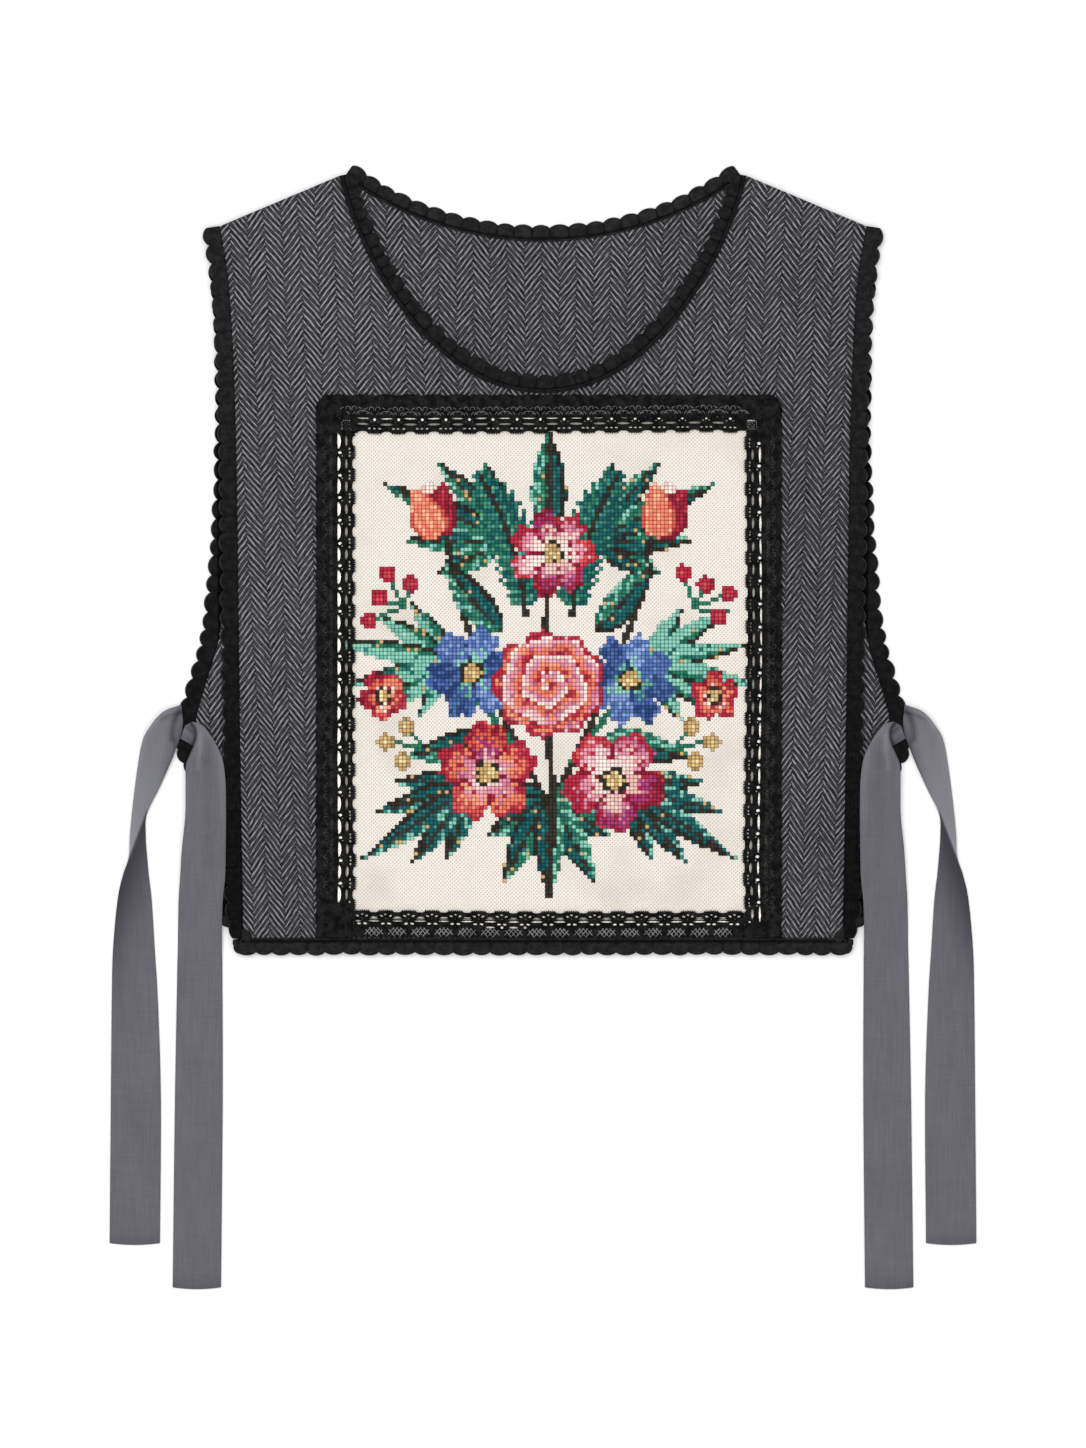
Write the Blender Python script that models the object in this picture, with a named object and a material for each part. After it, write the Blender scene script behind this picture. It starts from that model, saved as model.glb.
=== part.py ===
"""A side-tied waistcoat laid flat, face up.

Two wool panels lie on each other and are joined at the shoulders. A scalloped edging binds their
necks, sides and hems. A canvas panel framed by four strips of lace lies on the front. Two ribbon
ties hang from each side point of the back. The plan is drawn in millimetres, X to the right and
Y up the garment, with the origin at the middle of the plan, on the surface it lies on.
"""
import math
from collections import namedtuple

import bmesh
import bpy
from mathutils import Vector

MM = 0.001

# Cloth thicknesses and the gap that parts one piece from the next.
WOOL = 1.4
CANVAS = 1.0
LACE = 1.0
RIBBON = 1.0
GAP = 0.3

# Edging: a scalloped braid that binds an edge. A lobe is the length of one scallop, and the braid
# is valley wide between two lobes and tip wide at the end of one.
EDGING = {
    "side": {"lobe": 12.2, "valley": 8.8, "tip": 12.0},
    "front_neck": {"lobe": 12.2, "valley": 8.8, "tip": 12.0},
    "back_neck": {"lobe": 12.2, "valley": 8.0, "tip": 10.9},
    "hem": {"lobe": 11.3, "valley": 9.0, "tip": 11.0},
}
EDGING_BACK = 1.9           # its height on the back panel
EDGING_FRONT = 2.4          # its height on the front panel
EDGING_CHAMFER = 1.0
LOBE_SECTIONS = 3

# Heights of the layers above the surface.
FRONT_Z = EDGING_BACK + GAP
CANVAS_Z = FRONT_Z + WOOL + GAP
LACE_Z = CANVAS_Z + CANVAS + GAP

# Shoulders and necks. A neck is half of x^n + t^m = 1, where t runs down its depth.
SHOULDER_X = 213.2
SHOULDER_Y = 330.4
NECK_TOP_Y = 363.7
FRONT_NECK = {"half_width": 134.0, "depth": 143.3, "n": 2.1, "m": 1.3}
BACK_NECK = {"half_width": 131.0, "depth": 43.6, "n": 2.0, "m": 1.15}
FRONT_NECK_END = (-0.8, 0.6)    # way in which the front neck's edging is cut at the right shoulder
FRONT_HEM_Y = -139.3
BACK_HEM_Y = -121.4
NECK_STEP = 4.5             # distance between the points of a neck
SIDE_STEP = 9.0             # distance between the points of a side

# Side edges of the panels, from the shoulder down to the hem.
SideRow = namedtuple("SideRow", ("x", "y"))
FRONT_SIDE = (
    SideRow(SHOULDER_X, SHOULDER_Y),
    SideRow(206.6, 284.0),
    SideRow(202.6, 191.0),
    SideRow(200.2, 19.0),
    SideRow(197.7, FRONT_HEM_Y),
)
BACK_SIDE = (
    SideRow(SHOULDER_X, SHOULDER_Y),
    SideRow(206.6, 284.0),
    SideRow(202.6, 191.0),
    SideRow(204.6, 136.0),
    SideRow(209.9, 90.0),
    SideRow(214.6, 57.0),
    SideRow(221.8, 29.7),
    SideRow(229.4, 3.3),
    SideRow(229.0, -14.0),
    SideRow(221.6, -33.0),
    SideRow(209.4, -81.0),
    SideRow(203.0, -113.0),
    SideRow(202.9, BACK_HEM_Y),
)
CORNER_OVERHANG = 6.5       # how far a hem's edging runs on past the panel's corner

# Canvas panel and its lace frame, a little right of the centre line.
FRAME_X = 3.9
CANVAS_HALF = 140.5
CANVAS_TOP = 203.9
CANVAS_BOTTOM = -129.7
FRAME_OUTER_HALF = 154.0
FRAME_TOP = 219.5
STRIP = 25.0                # width of a lace strip
STRIP_BOTTOM = 18.6         # width of the lower strip, cut short by the hem
SLOT_LENGTH = 11.0
SLOT_WIDTH = 2.6
SLOT_POINT = 3.0            # length of a slot's pointed end
SLOT_FROM_INSIDE = 9.8      # middle of the slots, from the strip's inner edge
LOWER_SLOT_FROM_INSIDE = 6.6
SIDE_SLOTS_BELOW = 6.0      # how far the side strips' slots run on past the lower strip
SIDE_REPEAT = 15.2
TOP_REPEAT = 16.9
WAVE = 0.8                  # rise of the inner edge at the middle of a repeat
PLAIN_END = 4.0             # length of a strip's inner edge with no wave, at each end
FRAME_CORNER = 11.0         # cut of the frame's outer upper corners

# Ties: a row for each section, from the side point to the free end. Outer and inner are the two
# edges of the ribbon's underside, and crown is how far its middle rises over them.
TieRow = namedtuple("TieRow", ("outer_x", "outer_y", "outer_z", "inner_x", "inner_y", "inner_z", "crown"))
TIE_BACK = (
    TieRow(238.6, 14.8, 2.2, 237.4, 3.4, 2.2, 0.4),
    TieRow(250.8, 9.9, 3.4, 238.4, -4.6, 2.3, 1.2),
    TieRow(260.0, -0.7, 2.6, 241.6, -13.2, 2.4, 1.4),
    TieRow(264.8, -11.0, 1.0, 245.2, -22.4, 1.6, 1.6),
    TieRow(268.6, -33.7, 0.2, 253.2, -40.3, 0.6, 1.4),
    TieRow(271.3, -56.8, 0.0, 261.4, -57.4, 0.0, 1.3),
    TieRow(272.6, -71.3, 0.0, 262.2, -71.9, 0.0, 1.6),
    TieRow(273.4, -85.8, 0.0, 261.2, -86.5, 0.0, 1.3),
    TieRow(277.2, -97.7, 0.0, 260.1, -98.3, 0.0, 0.8),
    TieRow(280.8, -114.2, 0.0, 258.2, -114.8, 0.0, 0.4),
    TieRow(283.8, -147.2, 0.0, 256.2, -147.2, 0.0, 0.2),
    TieRow(284.6, -180.2, 0.0, 254.2, -180.2, 0.0, 0.1),
    TieRow(285.2, -246.2, 0.0, 252.2, -246.2, 0.0, 0.0),
    TieRow(286.0, -340.6, 0.0, 252.8, -340.6, 0.0, 0.0),
)
TIE_FRONT = (
    TieRow(239.2, -7.6, 2.2, 236.2, 0.9, 2.2, 0.3),
    TieRow(231.0, -12.5, 2.6, 230.4, 3.4, 3.4, 1.6),
    TieRow(231.6, -14.8, 3.4, 222.4, -1.0, 5.2, 1.8),
    TieRow(235.4, -24.8, 3.0, 212.6, -17.4, 5.4, 1.2),
    TieRow(235.8, -38.3, 2.4, 209.6, -32.6, 5.2, 0.8),
    TieRow(236.0, -58.2, 2.2, 209.0, -52.4, 5.1, 0.4),
    TieRow(238.2, -79.9, 1.6, 209.2, -79.9, 5.1, 0.0),
    TieRow(239.4, -98.4, 1.2, 209.6, -98.4, 4.6, 0.0),
    TieRow(240.4, -114.2, 0.8, 211.2, -114.2, 3.2, 0.0),
    TieRow(240.8, -130.7, 0.3, 211.8, -130.7, 2.3, 0.0),
    TieRow(241.0, -147.2, 0.0, 211.8, -147.2, 0.8, 0.0),
    TieRow(241.4, -163.7, 0.0, 211.6, -163.7, 0.0, 0.0),
    TieRow(242.9, -246.2, 0.0, 211.4, -246.2, 0.0, 0.0),
    TieRow(244.4, -369.8, 0.0, 212.5, -369.8, 0.0, 0.0),
)
TIE_STEPS = 2               # sections between two rows
TIE_ENDS = 1.2              # how far the middle of a free end stands out


def smooth_curve(points, steps):
    """Points on a Catmull-Rom curve through the given ones, with steps to each span."""
    points = [Vector(p) for p in points]
    ends = [2 * points[0] - points[1]] + points + [2 * points[-1] - points[-2]]
    curve = []
    for before, start, end, after in zip(ends, ends[1:], ends[2:], ends[3:]):
        for k in range(steps):
            t = k / steps
            curve.append(0.5 * (
                2 * start + (end - before) * t
                + (2 * before - 5 * start + 4 * end - after) * t ** 2
                + (3 * start - before - 3 * end + after) * t ** 3
            ))
    return curve + [points[-1]]


def resample(points, count):
    """Count + 1 points at even distances along a line of points."""
    lengths = [0.0]
    for a, b in zip(points, points[1:]):
        lengths.append(lengths[-1] + (b - a).length)
    result = []
    span = 0
    for k in range(count + 1):
        at = lengths[-1] * k / count
        while span < len(points) - 2 and lengths[span + 1] < at:
            span += 1
        part = (at - lengths[span]) / (lengths[span + 1] - lengths[span])
        result.append(points[span].lerp(points[span + 1], part))
    return result


def line_length(points):
    """Length of a line of points."""
    return sum((b - a).length for a, b in zip(points, points[1:]))


def neck_line(neck, fine=96):
    """Right half of a neck, from its lowest point up to the shoulder."""
    line = []
    for k in range(fine + 1):
        angle = math.pi / 2 * k / fine
        x = neck["half_width"] * math.sin(angle)
        t = (1 - (x / neck["half_width"]) ** neck["n"]) ** (1 / neck["m"])
        line.append(Vector((x, NECK_TOP_Y - neck["depth"] * t)))
    return resample(line, round(line_length(line) / NECK_STEP))


def side_line(rows):
    """Right side edge of a panel, from the shoulder down to the hem."""
    curve = smooth_curve(rows, 12)
    return resample(curve, round(line_length(curve) / SIDE_STEP))


def offsets(line, distance):
    """The line moved to its left by a distance."""
    moved = []
    for k, point in enumerate(line):
        ahead = line[min(k + 1, len(line) - 1)] - line[max(k - 1, 0)]
        ahead.normalize()
        moved.append(point + Vector((-ahead.y, ahead.x)) * distance)
    return moved


def mirrored(line):
    """The line on the other side of the centre line, run backwards."""
    return [Vector((-p.x, p.y)) for p in reversed(line)]


def finish(name, colour, roughness):
    """A plain cloth material."""
    material = bpy.data.materials.new(name)
    material.use_nodes = True
    shader = material.node_tree.nodes["Principled BSDF"]
    shader.inputs["Base Color"].default_value = (*colour, 1.0)
    shader.inputs["Roughness"].default_value = roughness
    shader.inputs["Metallic"].default_value = 0.0
    return material


def add_object(name, mesh, material):
    """A named object for a mesh, in the waistcoat's collection."""
    mesh.materials.clear()
    mesh.materials.append(material)
    piece = bpy.data.objects.new(name, mesh)
    waistcoat.objects.link(piece)
    return piece


def flat_piece(name, outline, holes, z, thickness, material, slope=None):
    """A flat piece cut to an outline, with holes, whose underside is at z.

    A slope is (edge, inward, reach, drop): from reach inside an edge the piece falls by drop.
    """
    curve = bpy.data.curves.new(name, "CURVE")
    curve.dimensions = "2D"
    curve.fill_mode = "BOTH"
    curve.extrude = thickness * MM / 2
    for loop in [outline, *holes]:
        spline = curve.splines.new("POLY")
        spline.points.add(len(loop) - 1)
        spline.use_cyclic_u = True
        for point, (x, y) in zip(spline.points, loop):
            point.co = (x * MM, y * MM, 0.0, 1.0)
    guide = bpy.data.objects.new(name, curve)
    waistcoat.objects.link(guide)
    evaluated = guide.evaluated_get(bpy.context.evaluated_depsgraph_get())
    mesh = bpy.data.meshes.new_from_object(evaluated)
    bpy.data.objects.remove(guide)
    bpy.data.curves.remove(curve)
    form = bmesh.new()
    form.from_mesh(mesh)
    bmesh.ops.remove_doubles(form, verts=form.verts, dist=0.00001)
    bmesh.ops.recalc_face_normals(form, faces=form.faces)
    if slope:
        edge, inward, reach, drop = slope
        inward = Vector((*inward, 0.0))
        crease = Vector((*edge, 0.0)) + inward * reach
        everything = form.verts[:] + form.edges[:] + form.faces[:]
        bmesh.ops.bisect_plane(form, geom=everything, plane_co=crease * MM, plane_no=inward, dist=0.00001)
        for vertex in form.verts:
            short = (crease - vertex.co / MM).dot(inward)
            vertex.co.z -= max(short, 0.0) / reach * drop * MM
    for vertex in form.verts:
        vertex.co.z += (z + thickness / 2) * MM
    form.to_mesh(mesh)
    form.free()
    mesh.name = name
    return add_object(name, mesh, material)


def loft(name, sections, material):
    """A closed body through sections that are rings with the same number of points."""
    form = bmesh.new()
    rings = [[form.verts.new(Vector(p) * MM) for p in section] for section in sections]
    count = len(rings[0])
    for ring, following in zip(rings, rings[1:]):
        for k in range(count):
            after = (k + 1) % count
            form.faces.new((ring[k], ring[after], following[after], following[k]))
    form.faces.new(list(reversed(rings[0])))
    form.faces.new(rings[-1])
    bmesh.ops.recalc_face_normals(form, faces=form.faces)
    mesh = bpy.data.meshes.new(name)
    form.to_mesh(mesh)
    form.free()
    return add_object(name, mesh, material)


def edging(name, line, kind, z, height, end=None):
    """Scalloped edging on the left of a line, GAP away from the cloth whose edge the line is.

    An end is the way in which the last section is cut, and its mirror image that of the first.
    """
    size = EDGING[kind]
    inner = offsets(line, GAP)
    lobes = round(line_length(inner) / size["lobe"])
    inner = resample(inner, lobes * LOBE_SECTIONS)
    sections = []
    for k, start in enumerate(inner):
        ahead = inner[min(k + 1, len(inner) - 1)] - inner[max(k - 1, 0)]
        ahead.normalize()
        across = Vector((-ahead.y, ahead.x))
        swell = math.sin(math.pi * (k % LOBE_SECTIONS) / LOBE_SECTIONS) ** 0.5
        width = size["valley"] + (size["tip"] - size["valley"]) * swell
        if end and k in (0, len(inner) - 1):
            across = Vector((end[0] if k else -end[0], end[1]))
            width = size["tip"]
        shoulder = start + across * EDGING_CHAMFER / 2
        brow = start + across * (width - EDGING_CHAMFER)
        edge = start + across * width
        sections.append((
            (start.x, start.y, z),
            (edge.x, edge.y, z),
            (brow.x, brow.y, z + height),
            (shoulder.x, shoulder.y, z + height),
        ))
    return loft(name, sections, edging_finish)


def tie(name, rows, side):
    """A ribbon tie through its rows of sections; side is 1 on the right and -1 on the left."""
    outer = smooth_curve([(row.outer_x, row.outer_y, row.outer_z) for row in rows], TIE_STEPS)
    inner = smooth_curve([(row.inner_x, row.inner_y, row.inner_z) for row in rows], TIE_STEPS)
    crowns = smooth_curve([(row.crown, 0, 0) for row in rows], TIE_STEPS)
    sections = []
    for k, (a, b, crown) in enumerate(zip(outer, inner, crowns)):
        middle = a.lerp(b, 0.5)
        middle.z += max(crown.x, 0.0)
        if k == len(outer) - 1:
            middle.y -= TIE_ENDS
        under = [Vector((p.x * side, p.y, max(p.z, 0.0))) for p in (a, middle, b)]
        over = [p + Vector((0, 0, RIBBON)) for p in reversed(under)]
        sections.append(under + over)
    return loft(name, sections, ribbon_finish)


def panel(name, neck, side, z):
    """A wool panel, with its neck, shoulders, sides and hem."""
    neck_half = neck_line(neck)
    side_half = side_line(side)
    right = neck_half + side_half
    outline = right + [p for p in mirrored(right) if p.x < -0.01]
    return flat_piece(name, outline, [], z, WOOL, wool_finish)


def slot(x, y, along_x):
    """Outline of one lace slot, a long hexagon."""
    half = SLOT_LENGTH / 2
    wide = SLOT_WIDTH / 2
    straight = half - SLOT_POINT
    shape = [(half, 0), (straight, wide), (-straight, wide)]
    shape += [(-x, -y) for x, y in shape]
    return [(x + a, y + b) if along_x else (x + b, y + a) for a, b in shape]


def repeats(start, end, pitch):
    """Middles of the repeats that fit between two ends."""
    count = int((end - start) / pitch)
    margin = (end - start - count * pitch) / 2
    return [start + margin + (k + 0.5) * pitch for k in range(count)]


def waved_edge(start, end, pitch, level, rise):
    """Points along an inner edge: a low wave, one for each repeat."""
    points = []
    for middle in repeats(start, end, pitch):
        points.append((middle - pitch / 2, level))
        points.append((middle, level + rise))
    return points[1:]


def lace_frame():
    """Four strips of lace round the canvas panel, with their ladder slots cut through."""
    left = FRAME_X - FRAME_OUTER_HALF
    right = FRAME_X + FRAME_OUTER_HALF
    bottom = FRONT_HEM_Y + GAP
    inner_left = left + STRIP
    inner_right = right - STRIP
    inner_top = FRAME_TOP - STRIP
    inner_bottom = bottom + STRIP_BOTTOM
    cut = FRAME_CORNER / 2
    mitre = GAP * 0.8
    reach = STRIP - SLOT_FROM_INSIDE - SLOT_WIDTH / 2
    lower_reach = STRIP_BOTTOM - LOWER_SLOT_FROM_INSIDE - SLOT_WIDTH / 2
    drop = LACE_Z - CANVAS_Z
    top_middles = repeats(inner_left, inner_right, TOP_REPEAT)
    top_row = inner_top + SLOT_FROM_INSIDE
    top_outline = [
        (left + cut + mitre, FRAME_TOP - cut),
        (left + FRAME_CORNER, FRAME_TOP),
        (right - FRAME_CORNER, FRAME_TOP),
        (right - cut - mitre, FRAME_TOP - cut),
        (inner_right - mitre, inner_top),
    ]
    wave = waved_edge(inner_left + PLAIN_END, inner_right - PLAIN_END, TOP_REPEAT, inner_top, -WAVE)
    top_outline += [(x, y) for x, y in reversed(wave)]
    top_outline.append((inner_left + mitre, inner_top))
    flat_piece(
        "lace_top", top_outline, [slot(x, top_row, True) for x in top_middles],
        LACE_Z, LACE, lace_finish, ((0, FRAME_TOP), (0, -1), reach, drop),
    )
    side_middles = repeats(inner_bottom - SIDE_SLOTS_BELOW, inner_top, SIDE_REPEAT)
    for name, outer_x, inward in (("lace_left", left, 1), ("lace_right", right, -1)):
        inner_x = outer_x + STRIP * inward
        row_x = inner_x - SLOT_FROM_INSIDE * inward
        outline = [
            (inner_x, inner_top - mitre),
            (outer_x + cut * inward, FRAME_TOP - cut - mitre),
            (outer_x, FRAME_TOP - FRAME_CORNER),
            (outer_x, bottom),
            (inner_x, bottom),
            (inner_x, inner_bottom),
        ]
        wave = waved_edge(
            inner_bottom + PLAIN_END, inner_top - PLAIN_END, SIDE_REPEAT, inner_x, WAVE * inward
        )
        outline += [(x, y) for y, x in wave]
        flat_piece(
            name, outline, [slot(row_x, y, False) for y in side_middles],
            LACE_Z, LACE, lace_finish, ((outer_x, 0), (inward, 0), reach, drop),
        )
    start = inner_left + GAP
    end = inner_right - GAP
    bottom_outline = [(start, inner_bottom), (start, bottom), (end, bottom), (end, inner_bottom)]
    wave = waved_edge(start + PLAIN_END, end - PLAIN_END, SIDE_REPEAT, inner_bottom, WAVE)
    bottom_outline += list(reversed(wave))
    bottom_row = inner_bottom - LOWER_SLOT_FROM_INSIDE
    bottom_slots = [slot(x, bottom_row, True) for x in repeats(start, end, SIDE_REPEAT)]
    flat_piece(
        "lace_bottom", bottom_outline, bottom_slots,
        LACE_Z, LACE, lace_finish, ((0, bottom), (0, 1), lower_reach, drop),
    )


def canvas_panel():
    """The stitched canvas that lies on the front, under the frame's inner edges."""
    left = FRAME_X - CANVAS_HALF
    right = FRAME_X + CANVAS_HALF
    outline = [(left, CANVAS_BOTTOM), (right, CANVAS_BOTTOM), (right, CANVAS_TOP), (left, CANVAS_TOP)]
    return flat_piece("canvas_panel", outline, [], CANVAS_Z, CANVAS, canvas_finish)


def bind(prefix, neck, side, hem_y, z, height, neck_end=None):
    """The edging round one panel: neck, two sides and hem."""
    neck_right = neck_line(neck)
    whole_neck = mirrored(neck_right)[:-1] + neck_right
    edging(f"neck_edging_{prefix}", whole_neck, f"{prefix}_neck", z, height, neck_end)
    right_side = side_line(side)
    edging(f"side_edging_{prefix}_right", right_side, "side", z, height)
    edging(f"side_edging_{prefix}_left", mirrored(right_side), "side", z, height)
    reach = side[-1].x + CORNER_OVERHANG
    hem = [Vector((reach, hem_y)), Vector((-reach, hem_y))]
    edging(f"hem_edging_{prefix}", hem, "hem", z, height)


for leftover in list(bpy.data.objects):
    bpy.data.objects.remove(leftover)

waistcoat = bpy.data.collections.new("side_tied_waistcoat")
bpy.context.scene.collection.children.link(waistcoat)

wool_finish = finish("herringbone_wool", (0.085, 0.086, 0.092), 0.9)
edging_finish = finish("black_braid", (0.015, 0.015, 0.016), 0.6)
lace_finish = finish("black_lace", (0.015, 0.015, 0.015), 0.7)
canvas_finish = finish("cream_canvas", (0.75, 0.69, 0.6), 0.9)
ribbon_finish = finish("grey_ribbon", (0.15, 0.15, 0.17), 0.75)

panel("back_panel", BACK_NECK, BACK_SIDE, 0.0)
panel("front_panel", FRONT_NECK, FRONT_SIDE, FRONT_Z)
bind("back", BACK_NECK, BACK_SIDE, BACK_HEM_Y, 0.0, EDGING_BACK)
bind("front", FRONT_NECK, FRONT_SIDE, FRONT_HEM_Y, FRONT_Z, EDGING_FRONT, FRONT_NECK_END)
canvas_panel()
lace_frame()
for side_name, direction in (("right", 1), ("left", -1)):
    tie(f"tie_{side_name}_back", TIE_BACK, direction)
    tie(f"tie_{side_name}_front", TIE_FRONT, direction)
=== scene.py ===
"""Dresses the side-tied waistcoat: herringbone wool, black braid, needlework, lace and ribbon ties.

Sizes are in millimetres, in the plan that the solids use: X to the right, Y up the garment, and Z
up from the surface that the garment lies on.
"""
import logging
import math
from collections.abc import Callable
from dataclasses import dataclass, replace
from enum import Enum

import bmesh
import bpy
import numpy as np
from bpy.types import ID, Material, Node, NodeSocket, NodeTree, Object
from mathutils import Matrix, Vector


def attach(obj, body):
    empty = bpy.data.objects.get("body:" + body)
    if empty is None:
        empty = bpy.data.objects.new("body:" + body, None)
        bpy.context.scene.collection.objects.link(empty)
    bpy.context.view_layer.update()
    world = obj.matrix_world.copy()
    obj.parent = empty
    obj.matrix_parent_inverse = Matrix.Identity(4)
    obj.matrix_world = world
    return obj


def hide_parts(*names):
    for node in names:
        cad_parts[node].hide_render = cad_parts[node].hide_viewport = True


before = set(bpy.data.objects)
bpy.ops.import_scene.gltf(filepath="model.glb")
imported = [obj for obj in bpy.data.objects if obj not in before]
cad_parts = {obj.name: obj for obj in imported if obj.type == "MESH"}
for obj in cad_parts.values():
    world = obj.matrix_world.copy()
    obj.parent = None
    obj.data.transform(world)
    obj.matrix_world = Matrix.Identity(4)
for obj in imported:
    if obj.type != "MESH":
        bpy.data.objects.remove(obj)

log = logging.getLogger("waistcoat")

Array = np.ndarray
Colour = tuple[float, float, float]

MM = 0.001
SEED = 11

# The room between two sewn pieces, the wool's thickness, and the height at which each layer starts.
GAP = 0.3
WOOL = 1.4
FRONT_Z = 2.2
CANVAS_Z = 3.9
LACE_Z = 5.2

# How far out from its teeth the lace leaves the canvas, and the height of its outer edge on the wool.
LACE_BEND = 11.1
LACE_EDGE_Z = 3.95

# The height of the necks' ends, and the side edges of the panels from shoulder to hem.
NECK_TOP_Y = 363.7
SHOULDER = (213.2, 330.4)
FRONT_HEM_Y = -139.3
BACK_HEM_Y = -121.4
FRONT_SIDE = (SHOULDER, (206.6, 284.0), (202.6, 191.0), (200.2, 19.0), (197.7, FRONT_HEM_Y))
BACK_SIDE = (
    SHOULDER, (206.6, 284.0), (204.3, 215.0), (205.0, 180.0), (206.6, 136.0), (210.4, 90.0), (214.2, 57.0),
    (222.0, 29.7), (229.4, 3.3), (229.0, -14.0), (221.6, -33.0), (209.4, -81.0),
    (203.0, -113.0), (202.9, BACK_HEM_Y),
)

# The lace frame and the canvas in it, about an upright line at FRAME_X.
FRAME_X = 3.9
CANVAS_HALF = 140.5
CANVAS_TOP = 203.9
CANVAS_BOTTOM = -129.7
FRAME_OUTER_HALF = 154.0
FRAME_TOP = 219.5
STRIP = 25.0
STRIP_BOTTOM = 18.6
INNER_LEFT = FRAME_X - FRAME_OUTER_HALF + STRIP
INNER_RIGHT = FRAME_X + FRAME_OUTER_HALF - STRIP
INNER_TOP = FRAME_TOP - STRIP
INNER_BOTTOM = FRONT_HEM_Y + GAP + STRIP_BOTTOM
HEM_LACE_Y = INNER_BOTTOM - 2.0


def smooth_curve(rows: Array, steps: int) -> Array:
    """Points on a Catmull-Rom curve through rows.

    Args:
        rows: the points to pass through, one to a row.
        steps: how many points each span gets.

    Returns:
        The points of the curve.
    """
    rows = np.asarray(rows, float)
    ends = np.vstack([2 * rows[0] - rows[1], rows, 2 * rows[-1] - rows[-2]])
    curve = []
    for k in range(len(rows) - 1):
        before, start, end, after = ends[k:k + 4]
        for t in np.arange(steps) / steps:
            curve.append(0.5 * (
                2 * start + (end - before) * t
                + (2 * before - 5 * start + 4 * end - after) * t ** 2
                + (3 * start - before - 3 * end + after) * t ** 3
            ))
    return np.array(curve + [rows[-1]])


def length_of(line: Array) -> float:
    """Length of a line of points."""
    return float(np.linalg.norm(np.diff(line, axis=0), axis=1).sum())


def rows_at(rows: Array, steps: Array, where: Array) -> Array:
    """The rows at the steps in where, between rows that each lie at a step of their own."""
    return np.column_stack([np.interp(where, steps, column) for column in rows.T])


def resample(line: Array, count: int) -> Array:
    """The points that part a line into so many equal spans, with its ends."""
    reach = np.concatenate([[0.0], np.cumsum(np.linalg.norm(np.diff(line, axis=0), axis=1))])
    return rows_at(line, reach, np.linspace(0.0, reach[-1], count + 1))


def headings(line: Array) -> Array:
    """The unit way ahead at each point of a line."""
    ahead = np.gradient(line, axis=0)
    return ahead / np.linalg.norm(ahead, axis=1)[:, None]


def offset(line: Array, distance: float | Array) -> Array:
    """A line beside another.

    Args:
        line: the line.
        distance: how far to its left, as one number or as one for each point.

    Returns:
        The moved points.
    """
    ahead = headings(line)
    left = np.column_stack([-ahead[:, 1], ahead[:, 0]])
    return line + left * np.reshape(distance, (-1, 1))


def mirrored(line: Array) -> Array:
    """The line on the other side of the centre line, run backwards."""
    return line[::-1] * (-1, 1)


def neck_line(half_width: float, depth: float, n: float, m: float) -> Array:
    """A whole neck, from the left shoulder down and up to the right one, as half of x^n + t^m = 1.

    Args:
        half_width: half the neck's width at the shoulders.
        depth: how far it falls below the shoulders.
        n: power across.
        m: power down.

    Returns:
        The points of the neck.
    """
    x = half_width * np.sin(np.linspace(0.0, math.pi / 2, 97))
    t = np.clip(1 - (x / half_width) ** n, 0.0, 1.0) ** (1 / m)
    right = np.column_stack([x, NECK_TOP_Y - depth * t])
    right = resample(right, round(length_of(right) / 4.5))
    return np.vstack([mirrored(right)[:-1], right])


def side_line(rows: tuple) -> Array:
    """Right side edge of a panel, from the shoulder down to the hem."""
    curve = smooth_curve(rows, 12)
    return resample(curve, round(length_of(curve) / 9.0))


def mesh_object(
    name: str, verts: Array, faces: list, finish: Material | None = None, edges: list | None = None
) -> Object:
    """An object from points in millimetres.

    Args:
        name: the object's name.
        verts: its points.
        faces: its faces, as lists of places in verts.
        finish: its material, if it has one.
        edges: its edges, where it has edges alone.

    Returns:
        The object, linked to the scene.
    """
    mesh = bpy.data.meshes.new(name)
    mesh.from_pydata((np.asarray(verts, float) * MM).tolist(), edges or [], [list(f) for f in faces])
    mesh.shade_smooth()
    if finish:
        mesh.materials.append(finish)
    return linked(name, mesh)


def linked(name: str, data: ID) -> Object:
    """A new object for a mesh, a lamp or a camera, linked to the scene."""
    made = bpy.data.objects.new(name, data)
    bpy.context.scene.collection.objects.link(made)
    return made


def raised(plan: Array, height: float | Array) -> Array:
    """Points over a plan, at one height or at one for each point."""
    return np.column_stack([plan, np.broadcast_to(height, len(plan))])


def add_attribute(thing: Object, name: str, values: Array) -> None:
    """Stores a number, or a vector, for each point of a mesh.

    Args:
        thing: the object.
        name: the attribute's name.
        values: one number or one row of three for each point.
    """
    values = np.asarray(values, np.float32)
    kind = "FLOAT" if values.ndim == 1 else "FLOAT_VECTOR"
    layer = thing.data.attributes.new(name, kind, "POINT")
    layer.data.foreach_set("value" if values.ndim == 1 else "vector", values.ravel())


def points_of(thing: Object) -> Array:
    """The points of an object's mesh, in millimetres."""
    return np.array([v.co[:] for v in thing.data.vertices]) / MM


def net_faces(rows: int, columns: int) -> list[list[int]]:
    """The quads between rows of points that are numbered row by row."""
    starts = [row * columns + column for row in range(rows - 1) for column in range(columns - 1)]
    return [[a, a + 1, a + columns + 1, a + columns] for a in starts]


def joined(name: str, parts: list[Object]) -> Object:
    """Makes one object of several.

    Args:
        name: its name.
        parts: the objects, of which the first takes up the others.

    Returns:
        The object.
    """
    with bpy.context.temp_override(
        active_object=parts[0], object=parts[0], selected_objects=parts, selected_editable_objects=parts
    ):
        bpy.ops.object.join()
    parts[0].name = name
    parts[0].data.name = name
    return parts[0]


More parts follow.
